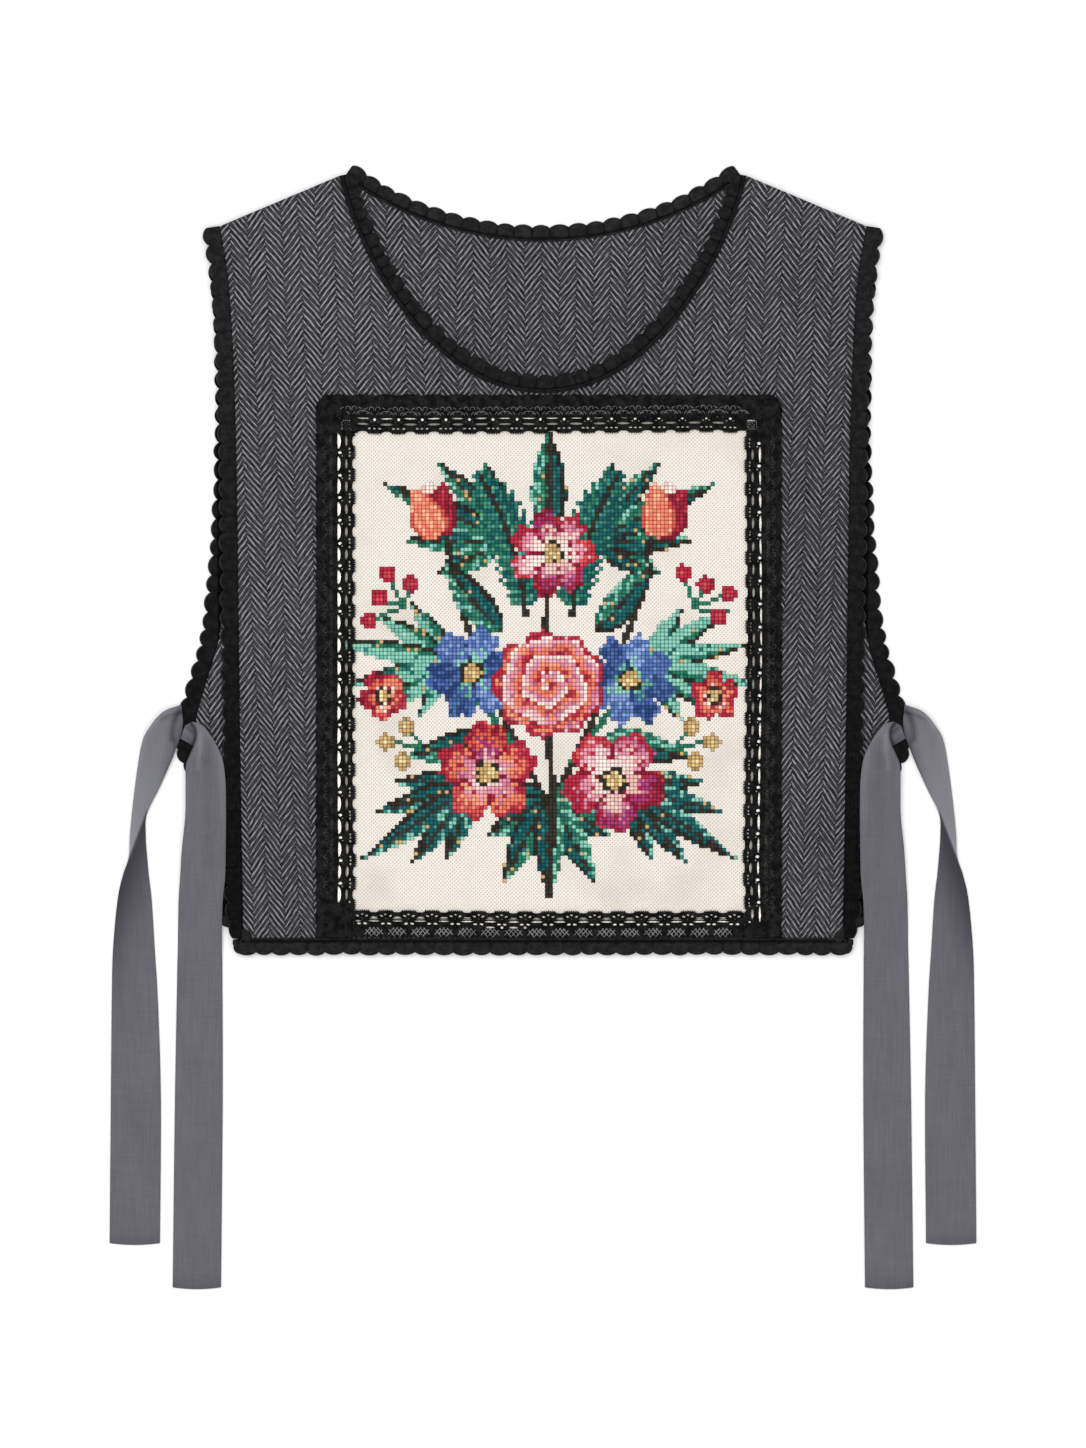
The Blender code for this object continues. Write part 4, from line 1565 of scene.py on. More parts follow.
@dataclass
class Needlework(Piece):
    """The cross-stitched panel: an evenweave ground and a raised stitch for each square of the chart."""

    pitch: float = 2.54
    width: int = 106
    height: int = 128
    ground_top: float = 4.6
    thread: float = 0.78
    tuck: float = 3.4
    cell: float = 8.0
    turn_jitter: float = 0.11
    size_jitter: float = 0.05

    def motif(self) -> Object:
        """One cross stitch: a pad of wool in the square, and two legs that cross on it.

        Returns:
            The stitch, with the painted light of each of its points, lightest where the stitch stands
            highest.
        """
        half = self.pitch / 2
        pad = half * 1.05
        ring = ((-1, -1), (0, -1), (1, -1), (1, 0), (1, 1), (0, 1), (-1, 1), (-1, 0))
        verts = [(a * pad, b * pad, 0.10 if a * b else 0.22) for a, b in ring] + [(0.0, 0.0, 0.25)]
        verts += [(a * pad, b * pad, -0.1) for a, b in ring[::2]]
        # Painted light at the middle and the edges' middles, and painted shade at the corners and below.
        crest = [0.10 if a * b else 0.46 for a, b in ring] + [0.7] + [0.0] * 4
        faces = [[k, (k + 1) % 8, 8] for k in range(8)] + [[12, 11, 10, 9]]
        faces += [[9 + k, 9 + (k + 1) % 4, (2 * k + 2) % 8, 2 * k + 1, 2 * k] for k in range(4)]
        for turn, lift in ((math.pi / 4, 0.0), (-math.pi / 4, 0.12)):
            self.add_leg(verts, crest, faces, turn, lift)
        made = mesh_object("cross_stitch", verts, faces)
        form = bmesh.new()
        form.from_mesh(made.data)
        bmesh.ops.recalc_face_normals(form, faces=form.faces)
        form.to_mesh(made.data)
        form.free()
        add_attribute(made, "crest", np.array(crest))
        return made

    def add_leg(self, verts: list, crest: list, faces: list, turn: float, lift: float) -> None:
        """Adds one leg of a stitch: three sections of five points, and a point at each end.

        Args:
            verts: the stitch's points so far.
            crest: the painted light of each point, which grows the higher the point stands.
            faces: its faces so far.
            turn: the leg's way, in radians.
            lift: how much its middle is raised.
        """
        reach = self.pitch / 2 * math.sqrt(2) * 0.98
        cos, sin = math.cos(turn), math.sin(turn)
        section = ((-1.0, 0.0), (-0.68, 0.62), (0.0, 0.95), (0.68, 0.62), (1.0, 0.0))
        start = len(verts)
        for place, girth, rise in ((-0.6, 0.86, 0.66), (0.0, 1.0, 1.0), (0.6, 0.86, 0.66)):
            for side, up in section:
                a, b = place * reach, side * self.thread * girth
                verts.append((a * cos - b * sin, a * sin + b * cos, 0.08 + up * 0.36 * girth + lift * rise))
                # Painted light along the leg, lightest along its top.
                crest.append((0.36 + 0.68 * up) * rise)
        verts += [(place * reach * cos, place * reach * sin, 0.0) for place in (-1.0, 1.0)]
        crest += [0.12, 0.12]
        around = [(start + k, start + (k + 1) % 5) for k in range(5)]
        faces += [[a + row, a + row + 5, b + row + 5, b + row] for row in (0, 5) for a, b in around]
        faces += [[start + 15, a, b] for a, b in around]
        faces += [[start + 16, b + 10, a + 10] for a, b in around]

    def build(self) -> None:
        """Makes the ground and the stitches of each yarn."""
        low = np.array([FRAME_X - CANVAS_HALF, CANVAS_BOTTOM - self.tuck])
        high = np.array([FRAME_X + CANVAS_HALF, CANVAS_TOP])
        outline = np.array([low, (high[0], low[1]), high, (low[0], high[1])])
        plan, faces = cut_plan(outline, [], grid_cuts(low, high, self.cell))
        top = self.ground_top + self.ripple(plan)
        ground = shell("canvas_ground", plan, faces, top, np.full(len(plan), CANVAS_Z), self.room.canvas)
        settle(ground, "canvas", "canvas_panel")
        chart = Chart(self.width, self.height)
        chart.draw()
        motif = self.motif()
        bottom = INNER_BOTTOM - 1.5 * self.pitch
        for k, yarn in enumerate(YARNS):
            here = chart.yarn == k
            plan = (FRAME_X, bottom) + np.column_stack([chart.x[here], chart.y[here]]) * self.pitch
            points = raised(plan, self.ground_top + self.ripple(plan))
            name = f"stitches_{yarn.name.lower()}"
            shade = {"shade": np.clip(chart.shade[here], 0.0, 1.0)}
            piece = self.room.growth.repeat(
                name, points, motif, TapestryWool(name, *yarn.value).build(), extra=shade,
                turn=self.turn_jitter, size=self.size_jitter,
            )
            settle(piece, "canvas")
        bpy.data.objects.remove(motif)

    @staticmethod
    def ripple(plan: Array) -> Array:
        """The slight unevenness of the stitched cloth at each point of a plan."""
        x, y = plan.T
        return 0.04 * np.sin(x / 17.0 + 0.6 * np.sin(y / 29.0)) + 0.03 * np.cos(y / 21.0)


@dataclass(frozen=True)
class Hole:
    """A hole in the lace.

    Its middle lies along from the middle of a repeat and out from the line of the teeth. Flat is the
    share of its half width on the outer side.
    """

    along: float
    out: float
    half_length: float
    half_width: float
    turn: float = 0.0
    flat: float = 1.0

    def outline(self, middle: float, points: int = 12) -> Array:
        """Its outline in one repeat.

        Args:
            middle: the middle of the repeat, along the strip.
            points: how many points it gets.

        Returns:
            The points, along and out.
        """
        turn = np.linspace(0.0, 2 * math.pi, points, endpoint=False)
        x = self.half_length * np.cos(turn)
        y = self.half_width * np.sign(np.sin(turn)) * np.abs(np.sin(turn)) ** 1.2
        y = np.where(y > 0, y * self.flat, y)
        a, b = math.cos(self.turn), math.sin(self.turn)
        return np.column_stack([middle + self.along + x * a - y * b, self.out + x * b + y * a])


def pair(along: float, out: float, length: float, width: float, turn: float = 0.0) -> tuple[Hole, Hole]:
    """Two holes, mirror images about the middle of the teeth."""
    return Hole(along, out, length, width, turn), Hole(-along, out, length, width, -turn)


# Radius of the rails and of the thick raised threads.
THREAD = 0.34


@dataclass(frozen=True)
class LacePattern:
    """What repeats along a strip of lace.

    The edge is where the teeth end, where they start and how deep the hollow between two groups is.
    Holes lie at the teeth and between them, and rails run along the strip at these distances out.
    The fan is the foot, half width and height of a bow of threads between two groups, with arcs of
    these shares of its size and some spokes. The ring is where the curls lie. A lattice of that many
    pairs of threads takes their place on one strip.
    """

    pitch: float
    teeth: int
    group: float
    edge: tuple
    at_teeth: tuple
    between: tuple
    rails: tuple
    fan: tuple
    arcs: tuple = (1.0, 0.5)
    spokes: int = 4
    ring: tuple = (2.2, 18.6)
    lattice: int = 0
    radius: float = THREAD


class LaceKind(Enum):
    """The lace as it lies on each side, along the top and along the hem."""

    LEFT = LacePattern(
        14.95, 6, 8.8, (-1.75, -0.1, 0.75),
        (
            *pair(2.4, 2.5, 0.78, 0.62), Hole(0.0, 2.35, 0.7, 0.6), Hole(0.0, 8.9, 0.92, 1.2),
            Hole(-2.1, 7.3, 0.5, 0.42),
        ),
        (Hole(0.0, 4.6, 3.5, 0.88), Hole(0.0, 10.2, 5.2, 1.85, 0.0, 0.14)),
        (3.4, 6.6, 11.4), (13.2, 4.4, 2.6),
    )
    RIGHT = LacePattern(
        15.14, 6, 8.8, (-0.5, 0.8, 1.2),
        (
            *pair(2.4, 3.3, 0.75, 0.5), Hole(0.0, 3.1, 0.7, 0.5), Hole(0.0, 9.5, 0.98, 1.25),
            Hole(-2.2, 8.3, 0.5, 0.4),
        ),
        (Hole(0.0, 5.15, 3.5, 0.85), Hole(0.0, 10.1, 5.2, 0.7)),
        (4.05, 7.3, 11.7), (13.6, 4.4, 2.6),
    )
    TOP = LacePattern(
        15.62, 6, 9.3, (-1.0, 0.2, 0.95),
        (
            *pair(3.3, 2.85, 1.05, 0.52), Hole(0.0, 2.85, 0.95, 0.52), *pair(2.1, 7.2, 0.6, 0.34),
            Hole(0.0, 8.85, 0.95, 1.0),
        ),
        (Hole(0.0, 5.7, 4.3, 0.7), Hole(0.0, 9.5, 4.2, 0.45)),
        (4.25, 10.75), (11.3, 4.7, 2.8), (1.0,), 3, (2.0, 15.9), 0, 0.16,
    )
    HEM = LacePattern(
        15.34, 7, 9.9, (-1.15, 0.0, 0.5),
        (
            *pair(2.95, 2.85, 1.05, 0.52, -0.35), Hole(0.0, 1.8, 0.85, 0.5), Hole(0.0, 4.65, 0.32, 0.4),
            *pair(2.1, 7.95, 1.3, 0.6, 0.1),
        ),
        (Hole(0.0, 3.8, 2.5, 0.4), Hole(0.0, 4.75, 3.3, 0.38), Hole(0.0, 6.2, 4.0, 0.44)),
        (5.4, 7.05, 9.0), (10.3, 5.4, 1.5), (), 0, (0.0, 0.0), 4, 0.27,
    )


@dataclass
class LaceStrip(Piece):
    """A strip of lace at the frame: openwork with raised threads, laid from the canvas down to the wool.

    The origin is a point of the strip's inner edge, and along and out are its ways in the plan. The
    bow is how far that edge bows outwards at places along the strip, which dies out at bow_end. Plain
    is the length without holes at its start. Before butt, the teeth are hidden by the hem's strip.
    """

    name: str
    node: str
    kind: LaceKind
    origin: tuple
    along: tuple
    out: tuple
    start: float
    end: float
    mitres: tuple
    corner: float = 11.0
    width: float = STRIP
    phase: float = 0.0
    bow: tuple = ((0.0, 0.0),)
    bow_end: float = 24.0
    bow_fade: float = 12.0
    extras: tuple = ()
    plain: float = 0.0
    butt: float = -math.inf
    wave: float = 1.0
    thickness: float = 0.55
    net_pitch: float = 1.35
    net_middle: tuple = (5.0, 5.2)
    net_radius: float = 3.7

    def place(self, local: Array) -> Array:
        """Plan points of points along and out from the strip's inner edge."""
        fade = np.clip((self.bow_end - local[:, 1]) / self.bow_fade, 0.0, 1.0)
        out = (local[:, 1] + np.interp(local[:, 0], *np.array(self.bow).T) * fade)[:, None]
        return np.array(self.origin) + local[:, :1] * np.array(self.along) + out * np.array(self.out)

    def span(self, mitred: float | Array, straight: float = 0.0) -> tuple:
        """The strip's two ends, with one length added at a mitred end and another at a straight one."""
        low, high = (mitred if mitre else straight for mitre in self.mitres)
        return self.start - low, self.end + high

    def middles(self) -> Array:
        """The middles of the groups of teeth, with one past each end of the strip."""
        pitch = self.kind.value.pitch
        first = self.phase + math.ceil((self.start - self.phase) / pitch) * pitch
        inside = np.arange(first, self.end, pitch)
        return np.array([inside[0] - pitch, *inside, inside[-1] + pitch])

    def edge(self) -> list[tuple[float, float]]:
        """The toothed inner edge, from start to end.

        Returns:
            Its points, along and out.
        """
        pattern = self.kind.value
        tip, root, hollow = pattern.edge
        half = pattern.group / 2
        points = []
        for middle in self.middles():
            for k in range(pattern.teeth * 4 + 1):
                t = k / (pattern.teeth * 4)
                tooth = root + (tip - root) * (0.0, 0.55, 1.0, 0.55)[k % 4]
                points.append((middle - half + pattern.group * t, tooth - 0.25 * math.sin(math.pi * t)))
            for k in range(1, 6):
                t = k / 6
                sag = root + 0.2 + (hollow - root - 0.2) * math.sin(math.pi * t)
                points.append((middle + half + (pattern.pitch - pattern.group) * t, sag))
        kept = [(s, -0.2 if s < self.butt else out) for s, out in points if self.start <= s <= self.end]
        low, high = self.span(0.8)
        return [(low, 0.9), *kept, (high, 0.9)]

    def outline(self) -> Array:
        """The strip's outline.

        Returns:
            Its points, along and out.
        """
        pitch = self.kind.value.pitch
        reach = self.width - self.corner
        low, high = self.span(reach)
        first = self.middles()[1]
        outer = []
        for s in np.arange(low, high, pitch / 8):
            wave = abs(math.sin(math.pi * (s - first) / pitch))
            outer.append((s, self.width - self.wave * (1 - wave)))
        outer.append((high, self.width))
        turns = np.linspace(0.0, math.pi / 4, 7)[1:]
        bend = [(self.corner * math.sin(a), reach + self.corner * math.cos(a)) for a in turns]
        if self.mitres[1]:
            outer += [(high + aside, out) for aside, out in bend]
        if self.mitres[0]:
            outer = [(low - aside, out) for aside, out in reversed(bend)] + outer
        return np.array(self.edge() + outer[::-1])

    def holes(self) -> list[Array]:
        """Every hole that lies well inside the strip.

        Returns:
            The outline of each hole, along and out.
        """
        pattern = self.kind.value
        made = []
        random = np.random.default_rng(SEED + len(self.name))
        middles = self.middles()
        for middle in middles[1:-1]:
            for hole in pattern.at_teeth:
                made.append(hole.outline(middle + random.uniform(-0.25, 0.25)))
        for middle in middles[:-1]:
            for hole in pattern.between:
                slack = random.uniform(0.88, 1.05)
                hole = replace(hole, half_length=hole.half_length * slack)
                if hole.half_length > 3:
                    lean = random.uniform(-0.03, 0.03)
                    hole = replace(hole, half_width=hole.half_width * random.uniform(0.85, 1.1), turn=lean)
                made.append(hole.outline(middle + pattern.pitch / 2))
        made += [hole.outline(0.0) for hole in self.extras]
        return [hole for hole in made if self.holds(hole) and not self.in_net(hole)] + self.net()

    def in_net(self, loop: Array) -> bool:
        """Whether a loop reaches into the net at a mitred corner."""
        low = self.start - loop[:, 0].min() + 0.6 if self.mitres[0] else -1.0
        high = loop[:, 0].max() - self.end + 0.6 if self.mitres[1] else -1.0
        return max(low, high) > 0 and loop[:, 1].min() < 10.2

    def net(self) -> list[Array]:
        """The net's small holes, on this strip's side of each mitre; the right corner's net is the opener.

        Returns:
            The outline of each hole, along and out.
        """
        made = []
        for past, end, mitred in ((-1, self.start, self.mitres[0]), (1, self.end, self.mitres[1])):
            size = 0.55 if past + self.out[0] * 2 > 0 else 0.36
            for a in np.arange(0.9, 8.0, self.net_pitch) if mitred else ():
                for out in np.arange(2.2, 10.0, self.net_pitch):
                    if a < out - 1.0 and math.dist((a, out), self.net_middle) < self.net_radius:
                        made.append(Hole(past * a, out, size, size).outline(end, 8))
        return made

    def holds(self, loop: Array, margin: float = 0.7) -> bool:
        """Whether a loop lies inside the strip's ends, with this much to spare."""
        low, high = self.span(loop[:, 1])
        return bool((loop[:, 0] > low + margin + self.plain).all() and (loop[:, 0] < high - margin).all())

    def drop(self, out: Array) -> Array:
        """Height of the strip's underside at distances out, before it is ruffled."""
        return np.interp(out, (0.0, LACE_BEND, self.width), (LACE_Z, LACE_Z, LACE_EDGE_Z))

    def floor(self, local: Array) -> Array:
        """Height of the strip's underside, which ruffles a little where it lies on the wool."""
        along, out = local.T
        puff = 0.12 * np.sin(along / 7.1 + out / 3.0) * np.clip((out - LACE_BEND) / 5.0, 0.0, 1.0)
        return self.drop(out) + np.abs(puff)

    def thread_paths(self) -> list[Array]:
        """The raised threads of one repeat.

        Returns:
            The points of each: along from the middle of the teeth, out and up.
        """
        pattern = self.kind.value
        half = pattern.pitch / 2
        base, wide, tall = pattern.fan
        paths = []
        for u in np.linspace(-wide, wide / 2.6, pattern.lattice):
            top = base + tall * (u / wide) ** 2
            for side in (-1, 1):
                paths.append([(half + side * (u + 3.9 * t), top + 4.5 * t) for t in (0.0, 0.35, 0.7, 1.0)])
        fan = [[(r, a) for a in np.linspace(0.12, math.pi - 0.12, 9)] for r in pattern.arcs]
        for a in np.linspace(0.18, 0.82, pattern.spokes) * math.pi:
            fan.append([(r, a) for r in (0.55, 0.8, 1.0)])
        for line in fan:
            paths.append([(half + wide * r * math.cos(a), base + tall * r * math.sin(a)) for r, a in line])
        aside, out = pattern.ring
        curl, lean = np.linspace(-0.6, 3.6, 9), np.linspace(0.0, 1.0, 5)
        for side in () if pattern.lattice else (-1, 1):
            paths += [
                [(side * (aside + 1.5 * math.cos(c)), out + 1.5 * math.sin(c) - 0.2 * c) for c in curl],
                [(side * (half - 0.7 - 2.4 * t), base + tall + 1.0 + 2.6 * t - 1.2 * t * t) for t in lean],
                [(side * (1.2 + 1.6 * t), base + 0.4 + 1.9 * t ** 0.6) for t in lean],
            ]
        plans = [np.array(path) for path in paths]
        return [raised(plan, self.drop(plan[:, 1]) + self.thickness + 0.12) for plan in plans]

    def spots(self) -> list[float]:
        """Where the raised threads are repeated, wherever they lie wholly on the strip.

        Returns:
            Places along the strip.
        """
        pattern = self.kind.value
        sense = self.out[1] * self.along[0] - self.out[0] * self.along[1]
        reach = (1.2 if pattern.lattice else -pattern.pitch / 2, pattern.pitch - 1.2)
        return [
            middle for middle in self.middles()
            if self.holds(np.array([(middle + sense * end, 12.0) for end in reach]), 1.0)
        ]

    def threads(self) -> Object:
        """The raised threads, and the rails that run on between them.

        Returns:
            The threads and the rails as one object.
        """
        pattern, growth = self.kind.value, self.room.growth
        # Thick threads take the lighter copy of the cotton, which paints their highlights.
        finish = self.room.fine_thread if pattern.radius < THREAD else self.room.lit_thick_thread
        motif = growth.cord("thread", self.thread_paths(), pattern.radius, finish, 5)
        spots = self.spots()
        local = np.column_stack([spots, np.zeros(len(spots))])
        points = raised(self.place(local), 0.0)
        ways = np.tile((self.out[1], -self.out[0]), (len(spots), 1))
        grown = growth.repeat("threads", points, motif, finish, ways)
        bpy.data.objects.remove(motif)
        rails = []
        for out in pattern.rails:
            low, high = self.span(out, -0.3)
            s = np.linspace(low, high, round((high - low) / 2.0))
            local = np.column_stack([s, out + 0.12 * np.sin(s * 1.7)])
            rails.append(raised(self.place(local), self.floor(local) + self.thickness))
        rail = growth.cord("rails", rails, THREAD, self.room.lace, 6)
        return joined(f"{self.name}_threads", [grown, rail])

    def build(self) -> None:
        """Makes the strip and its threads."""
        outline = self.outline()
        holes = self.holes()
        levels = (4.0, LACE_BEND, 14.0, 17.0, 20.0, 22.5)
        cuts = [((0.0, out), (0.0, 1.0)) for out in levels if out < self.width - 1]
        cuts += [((s, 0.0), (1.0, 0.0)) for s in np.arange(self.start, self.end, self.kind.value.pitch / 2)]
        local, faces = cut_plan(outline, holes, cuts)
        if self.along[0] * self.out[1] - self.along[1] * self.out[0] < 0:
            faces = [face[::-1] for face in faces]
        bottom = self.floor(local)
        strip = shell(self.name, self.place(local), faces, bottom + self.thickness, bottom, self.room.lace)
        settle(strip, "lace", self.node)
        threads = settle(self.threads(), "lace")


@dataclass(frozen=True)
class Lamp:
    """A square light that faces the garment: its place and its side in metres, and its power."""

    name: str
    place: tuple
    side: float
    power: float


@dataclass
class Studio:
    """The pale floor, the soft light and the camera straight above. Heights and the view are in metres."""

    camera_height: float = 6.0
    view_height: float = 0.9557
    centre_y: float = 0.00198
    film: float = 36.0
    floor_reach: float = 4000.0
    floor_z: float = -0.2
    pale: tuple = (0.93, 0.94)
    sky: float = 0.86
    lamps: tuple = (Lamp("key", (-1.0, 0.9, 2.8), 2.8, 36.0), Lamp("fill", (1.2, -0.7, 2.8), 2.8, 10.0))

    def build(self) -> None:
        """Makes the studio."""
        self.add_floor()
        self.add_light()
        self.add_camera()

    def add_floor(self) -> None:
        """Lays the floor."""
        g = Graph("pale_floor", 0.95, 0.0)
        low, high = ((tone,) * 3 for tone in self.pale)
        g.put(g.shader["Base Color"], g.mix(g.noise(3.0), low, high))
        corners = [(x, y) for x, y in ((-1, -1), (1, -1), (1, 1), (-1, 1))]
        verts = [(x * self.floor_reach, y * self.floor_reach, self.floor_z) for x, y in corners]
        mesh_object("floor", verts, [[0, 1, 2, 3]], g.material)

    def add_light(self) -> None:
        """Lights the scene from all round, and a little more from two sides."""
        scene = bpy.context.scene
        scene.view_settings.view_transform = "Standard"
        scene.world = bpy.data.worlds.new("studio")
        scene.world.use_nodes = True
        background = scene.world.node_tree.nodes["Background"].inputs
        background["Color"].default_value = (1.0, 1.0, 1.0, 1.0)
        background["Strength"].default_value = self.sky
        for lamp in self.lamps:
            light = bpy.data.lights.new(lamp.name, "AREA")
            light.size = lamp.side
            light.energy = lamp.power
            placed = linked(lamp.name, light)
            placed.location = lamp.place
            placed.rotation_euler = (-Vector(lamp.place)).to_track_quat("-Z", "Y").to_euler()

    def add_camera(self) -> None:
        """Sets the camera over the garment."""
        lens = bpy.data.cameras.new("camera")
        lens.sensor_width = self.film
        lens.lens = self.film * self.camera_height / self.view_height
        lens.clip_end = 50.0
        camera = linked("camera", lens)
        camera.location = (0.0, self.centre_y, self.camera_height)
        bpy.context.scene.camera = camera


# The ribbons of the right side, from the knot down; the left side's are their mirror images.
TIE_BACK = (
    TieRow((238.6, 14.8, 2.2), (237.4, 3.4, 2.2), 0.4, (-0.05, -0.15, -0.6)),
    TieRow((250.8, 9.9, 3.4), (238.4, -4.6, 2.3), 1.2, (0.25, 0.12, -0.65)),
    TieRow((260.0, -0.7, 2.6), (241.6, -13.2, 2.4), 1.4, (0.48, 0.25, -0.5)),
    TieRow((264.8, -11.0, 1.0), (245.2, -22.4, 1.6), 1.6, (0.52, 0.30, -0.25)),
    TieRow((268.6, -33.7, 0.2), (253.2, -40.3, 0.6), 1.4, (0.55, 0.42, 0.28)),
    TieRow((271.3, -56.8, 0.0), (261.4, -57.4, 0.0), 1.3, (0.58, 0.5, 0.45)),
    TieRow((272.6, -71.3, 0.0), (262.2, -71.9, 0.0), 1.6, (0.72, 0.66, 0.5)),
    TieRow((273.4, -85.8, 0.0), (261.2, -86.5, 0.0), 1.3, (0.95, 0.8, 0.6)),
    TieRow((277.2, -97.7, 0.0), (260.1, -98.3, 0.0), 0.8),
    TieRow((280.8, -114.2, 0.0), (258.2, -114.8, 0.0), 0.4),
    TieRow((283.8, -147.2, 0.0), (256.2, -147.2, 0.0), 0.2),
    TieRow((284.6, -180.2, 0.0), (254.2, -180.2, 0.0), 0.1),
    TieRow((285.2, -246.2, 0.0), (252.2, -246.2, 0.0), 0.0),
    TieRow((286.0, -340.6, 0.0), (252.8, -340.6, 0.0), 0.0),
)
TIE_FRONT = (
    TieRow((239.2, -7.6, 2.2), (236.2, 0.9, 2.2), 0.3, (-0.2, -0.1, 0.0)),
    TieRow((231.0, -12.5, 2.6), (230.4, 3.4, 3.4), 1.6, (-0.5, -0.4, -0.1)),
    TieRow((231.6, -14.8, 3.4), (222.4, -1.0, 5.2), 1.8, (0.0, 0.12, 0.25)),
    TieRow((235.4, -24.8, 3.0), (212.6, -17.4, 5.4), 1.2, (0.05, -0.1, 0.18)),
    TieRow((235.8, -38.3, 2.4), (209.6, -32.6, 5.2), 0.8, (0.08, -0.06, 0.1)),
    TieRow((236.0, -58.2, 2.2), (209.0, -52.4, 5.1), 0.4),
    TieRow((238.2, -79.9, 1.6), (209.2, -79.9, 5.1), 0.0),
    TieRow((239.4, -98.4, 1.2), (209.6, -98.4, 4.6), 0.0),
    TieRow((240.4, -114.2, 0.8), (211.2, -114.2, 3.2), 0.0),
    TieRow((240.8, -130.7, 0.3), (211.8, -130.7, 2.3), 0.0),
    TieRow((241.0, -147.2, 0.0), (211.8, -147.2, 0.8), 0.0),
    TieRow((241.4, -163.7, 0.0), (211.6, -163.7, 0.0), 0.0),
    TieRow((242.9, -246.2, 0.0), (211.4, -246.2, 0.0), 0.0),
    TieRow((244.4, -369.8, 0.0), (212.5, -369.8, 0.0), 0.0),
)
BACK_FOLD = Fold((262.2, -57.5), (273.6, -87.5), -0.90, 17.0)

BACK_CREASES = (
    Crease(-0.72, 2.1, ((239.5, 10.7), (243.0, 4.5), (244.5, -3.2), (244.6, -8.0))),
    Crease(0.10, 2.0, ((238.6, 11.0), (238.8, 4.5), (240.7, -3.2))),
    Crease(-0.38, 0.9, ((237.9, 9.8), (245.2, 8.0), (252.2, 5.3))),
    Crease(0.22, 1.2, ((239.0, 12.6), (246.8, 10.4), (253.0, 6.4), (258.5, 0.0))),
    Crease(-0.30, 1.1, ((242.6, -9.4), (243.2, -18.0), (248.0, -29.0))),
)
FRONT_CREASES = (
    Crease(-0.95, 1.2, ((232.2, 2.6), (229.6, -0.9), (229.0, -5.5), (230.4, -11.0), (234.4, -20.0))),
    Crease(0.32, 1.9, ((229.0, 1.6), (226.6, -5.5), (225.8, -12.5), (226.6, -20.3), (227.2, -27.0))),
    Crease(-0.18, 3.6, ((221.8, -8.6), (220.4, -15.6), (221.6, -24.0))),
    Crease(-0.30, 0.8, ((235.7, 0.4), (230.8, -3.2))),
    Crease(0.30, 1.1, ((237.2, -1.7), (231.6, -7.1))),
    Crease(0.12, 2.4, ((214.8, -18.0), (211.8, -36.0), (211.2, -60.0))),
    Crease(-0.10, 3.0, ((222.0, -34.0), (221.0, -60.0), (222.0, -90.0))),
)

# How far each strip of lace bows outwards along its length.
TOP_BOW = ((-124.0, 0.0), (-106.0, -0.8), (0.0, -0.3), (110.0, 0.7), (131.0, 0.0))
LEFT_BOW = ((-118.0, 0.0), (-90.0, -0.6), (-30.0, 0.0))
RIGHT_BOW = ((-118.0, 0.0), (-95.0, -1.2), (-30.0, -0.3), (57.0, 1.0), (150.0, 0.3), (192.0, 0.0))
HEM_BOW = ((-122.0, -0.9), (-60.0, -0.5), (-20.0, 0.0), (60.0, -0.1), (128.0, -0.3))
HEM_EXTRAS = (
    Hole(-27.1, 9.9, 0.95, 1.0), Hole(-11.8, 9.9, 0.95, 1.0), Hole(-34.8, 9.9, 3.0, 0.5),
    Hole(-19.4, 9.9, 3.0, 0.5), Hole(-122.0, 6.2, 1.8, 0.5),
)

# Small lobes that round the front's lower right corner, the larger lobe behind them, and the lobes
# under the right knot, which round the back's side point.
CORNER_NUBS = (Nub(200.2, -142.1, 1.0, -0.10, 0.42), Nub(198.9, -144.6, 0.80, -0.60, 0.50))
CORNER_LOBE = Nub(200.2, -141.6, -0.66, 0.75, 0.88)
KNOT_NUBS = (Nub(232.0, -15.2, 0.78, -0.62, 0.88), Nub(229.4, 6.4, 0.99, 0.12, 0.84))
HEM_NUBS = tuple(nub.on(side) for nubs in (CORNER_NUBS, (CORNER_LOBE,)) for side in (-1, 1) for nub in nubs)


@dataclass(frozen=True)
class Cut:
    """How a panel is cut and lies, and how thick its braid is. Neck holds neck_line's arguments."""

    neck: tuple
    side: tuple
    hem_y: float
    overhang: float
    floor: float
    braid_height: float
    neck_braid: ScallopSize


class PanelCut(Enum):
    """The two panels."""

    BACK = Cut((131.0, 43.6, 2.0, 1.15), BACK_SIDE, BACK_HEM_Y, 9.0, 0.0, 1.9, ScallopSize.BACK_NECK)
    FRONT = Cut((134.0, 143.3, 2.1, 1.3), FRONT_SIDE, FRONT_HEM_Y, 6.5, FRONT_Z, 2.4, ScallopSize.FRONT_NECK)


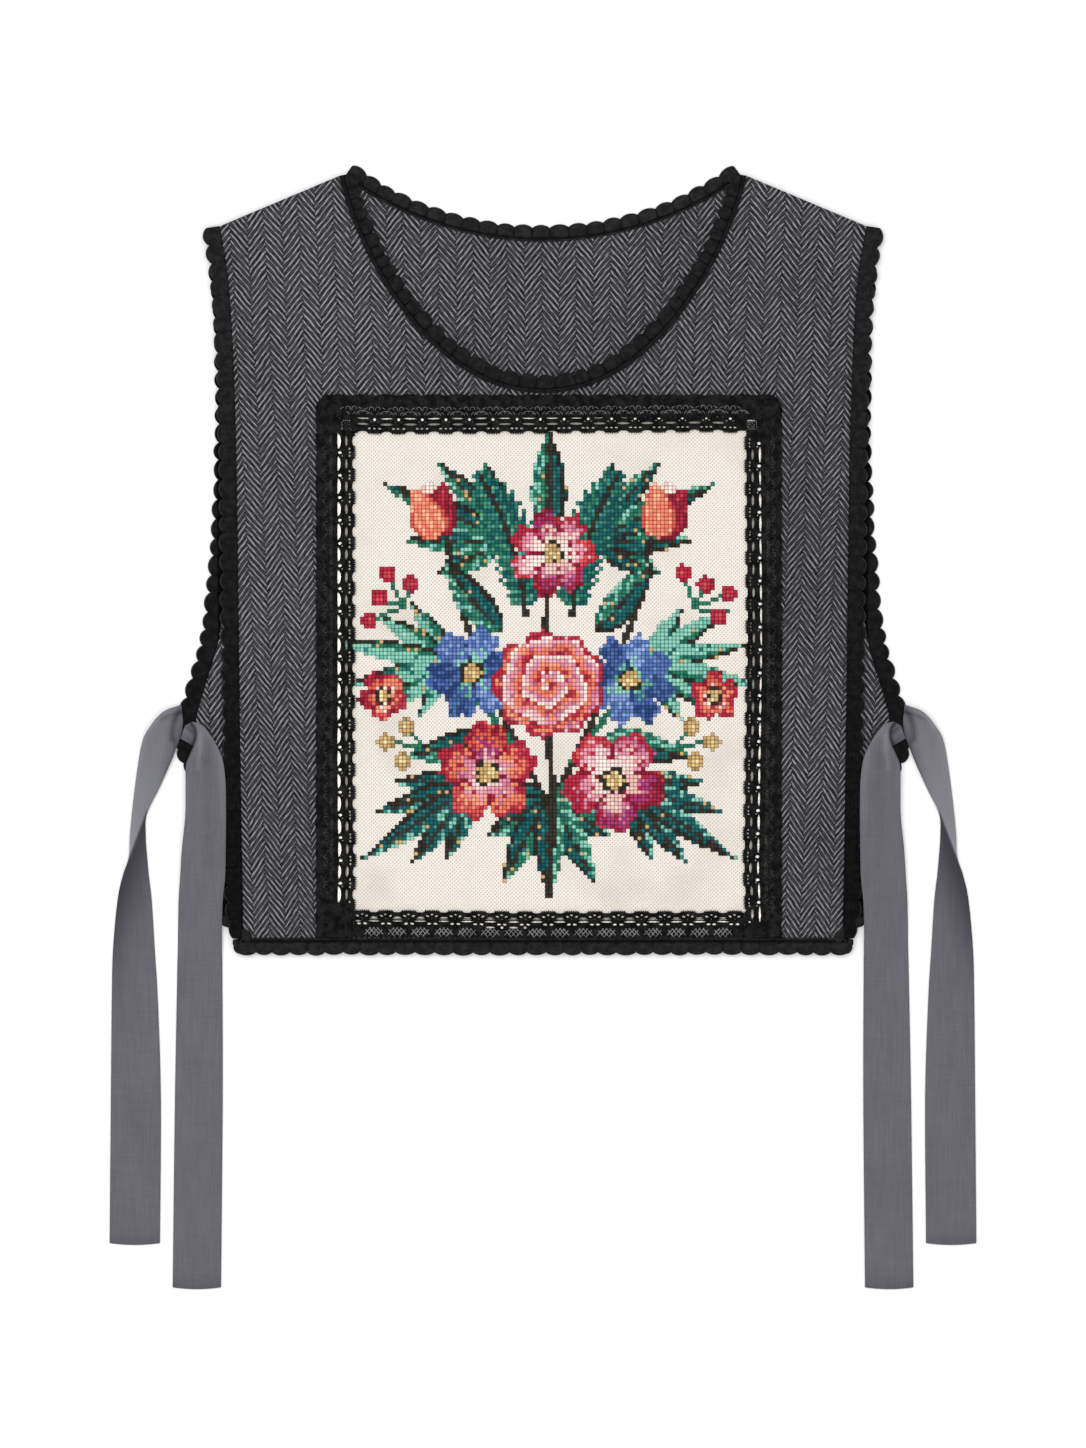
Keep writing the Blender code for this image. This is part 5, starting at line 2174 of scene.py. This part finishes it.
@dataclass
class Waistcoat(Piece):
    """The whole garment, built from the layer that lies lowest up."""

    def panel(self, kind: PanelCut) -> None:
        """One panel, with the braids on its neck, sides and hem.

        Args:
            kind: the back or the front.
        """
        part, cut = kind.name.lower(), kind.value
        neck, side = neck_line(*cut.neck), side_line(cut.side)
        panel = Panel(self.room, f"wool_{part}", f"{part}_panel", neck, side, cut.floor)
        sheet = panel.build()
        reach = side[-1][0] + cut.overhang
        hem = np.linspace((reach, cut.hem_y), (-reach, cut.hem_y), 60)
        lines = (
            ("neck", f"neck_edging_{part}", neck, cut.neck_braid),
            ("right", f"side_edging_{part}_right", side, ScallopSize.SIDE),
            ("left", f"side_edging_{part}_left", mirrored(side), ScallopSize.SIDE),
            ("hem", f"hem_edging_{part}", hem, ScallopSize.HEM),
        )
        braids = [
            Braid(self.room, f"braid_{label}_{part}", node, line, size, cut.floor, cut.braid_height)
            for label, node, line, size in lines
        ]
        _, right, left, lowest = braids
        if kind is PanelCut.FRONT:
            right.narrow, left.narrow = -1, 0
            lowest.trim, lowest.nubs = 2.6, HEM_NUBS
        else:
            for braid, sense in ((right, 1), (left, -1)):
                braid.nubs = tuple(nub.on(sense) for nub in KNOT_NUBS)
                braid.over = side_line(FRONT_SIDE) * (sense, 1)
        [braid.build() for braid in braids]

    def lace(self) -> None:
        """The four strips of the lace frame."""
        bottom = FRONT_HEM_Y + 0.2
        LaceStrip(
            self.room, "lace_along_top", "lace_top", LaceKind.TOP, (0.0, INNER_TOP), (1.0, 0.0), (0.0, 1.0),
            INNER_LEFT, INNER_RIGHT, (True, True), phase=-1.65, bow=TOP_BOW,
        ).build()
        sides = (
            ("left", LaceKind.LEFT, INNER_LEFT, -1.0, 61.5, LEFT_BOW, 20.5),
            ("right", LaceKind.RIGHT, INNER_RIGHT, 1.0, 66.0, RIGHT_BOW, 7.0),
        )
        for label, kind, x, out, phase, bow, plain in sides:
            LaceStrip(
                self.room, f"lace_on_{label}", f"lace_{label}", kind, (x, 0.0), (0.0, 1.0), (out, 0.0),
                bottom, INNER_TOP, (False, True), phase=phase, bow=bow, plain=plain, butt=HEM_LACE_Y + 0.5,
            ).build()
        LaceStrip(
            self.room, "lace_along_hem", "lace_bottom", LaceKind.HEM, (0.0, HEM_LACE_Y), (1.0, 0.0),
            (0.0, -1.0), INNER_LEFT + GAP, INNER_RIGHT - GAP, (False, False), width=HEM_LACE_Y - bottom,
            phase=-27.1, bow=HEM_BOW, extras=HEM_EXTRAS, wave=0.0,
        ).build()

    def ties(self) -> None:
        """The two ribbon ties of each side."""
        kinds = (("back", TIE_BACK, BACK_FOLD, BACK_CREASES), ("front", TIE_FRONT, None, FRONT_CREASES))
        for label, side in (("right", 1), ("left", -1)):
            for part, rows, fold, creases in kinds:
                name = f"{label}_{part}"
                tie = Tie(self.room, "ribbon_" + name, "tie_" + name, rows, side, fold, creases)
                tie.build()

    def build(self) -> None:
        """Builds every layer."""
        for kind in PanelCut:
            self.panel(kind)
        Needlework(self.room).build()
        self.lace()
        self.ties()


def main() -> None:
    """Builds the garment and the studio."""
    logging.basicConfig(level=logging.INFO, format="%(name)s: %(message)s")
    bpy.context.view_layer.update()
    Studio().build()
    Waistcoat(Workroom()).build()


if __name__ == "__main__":
    main()
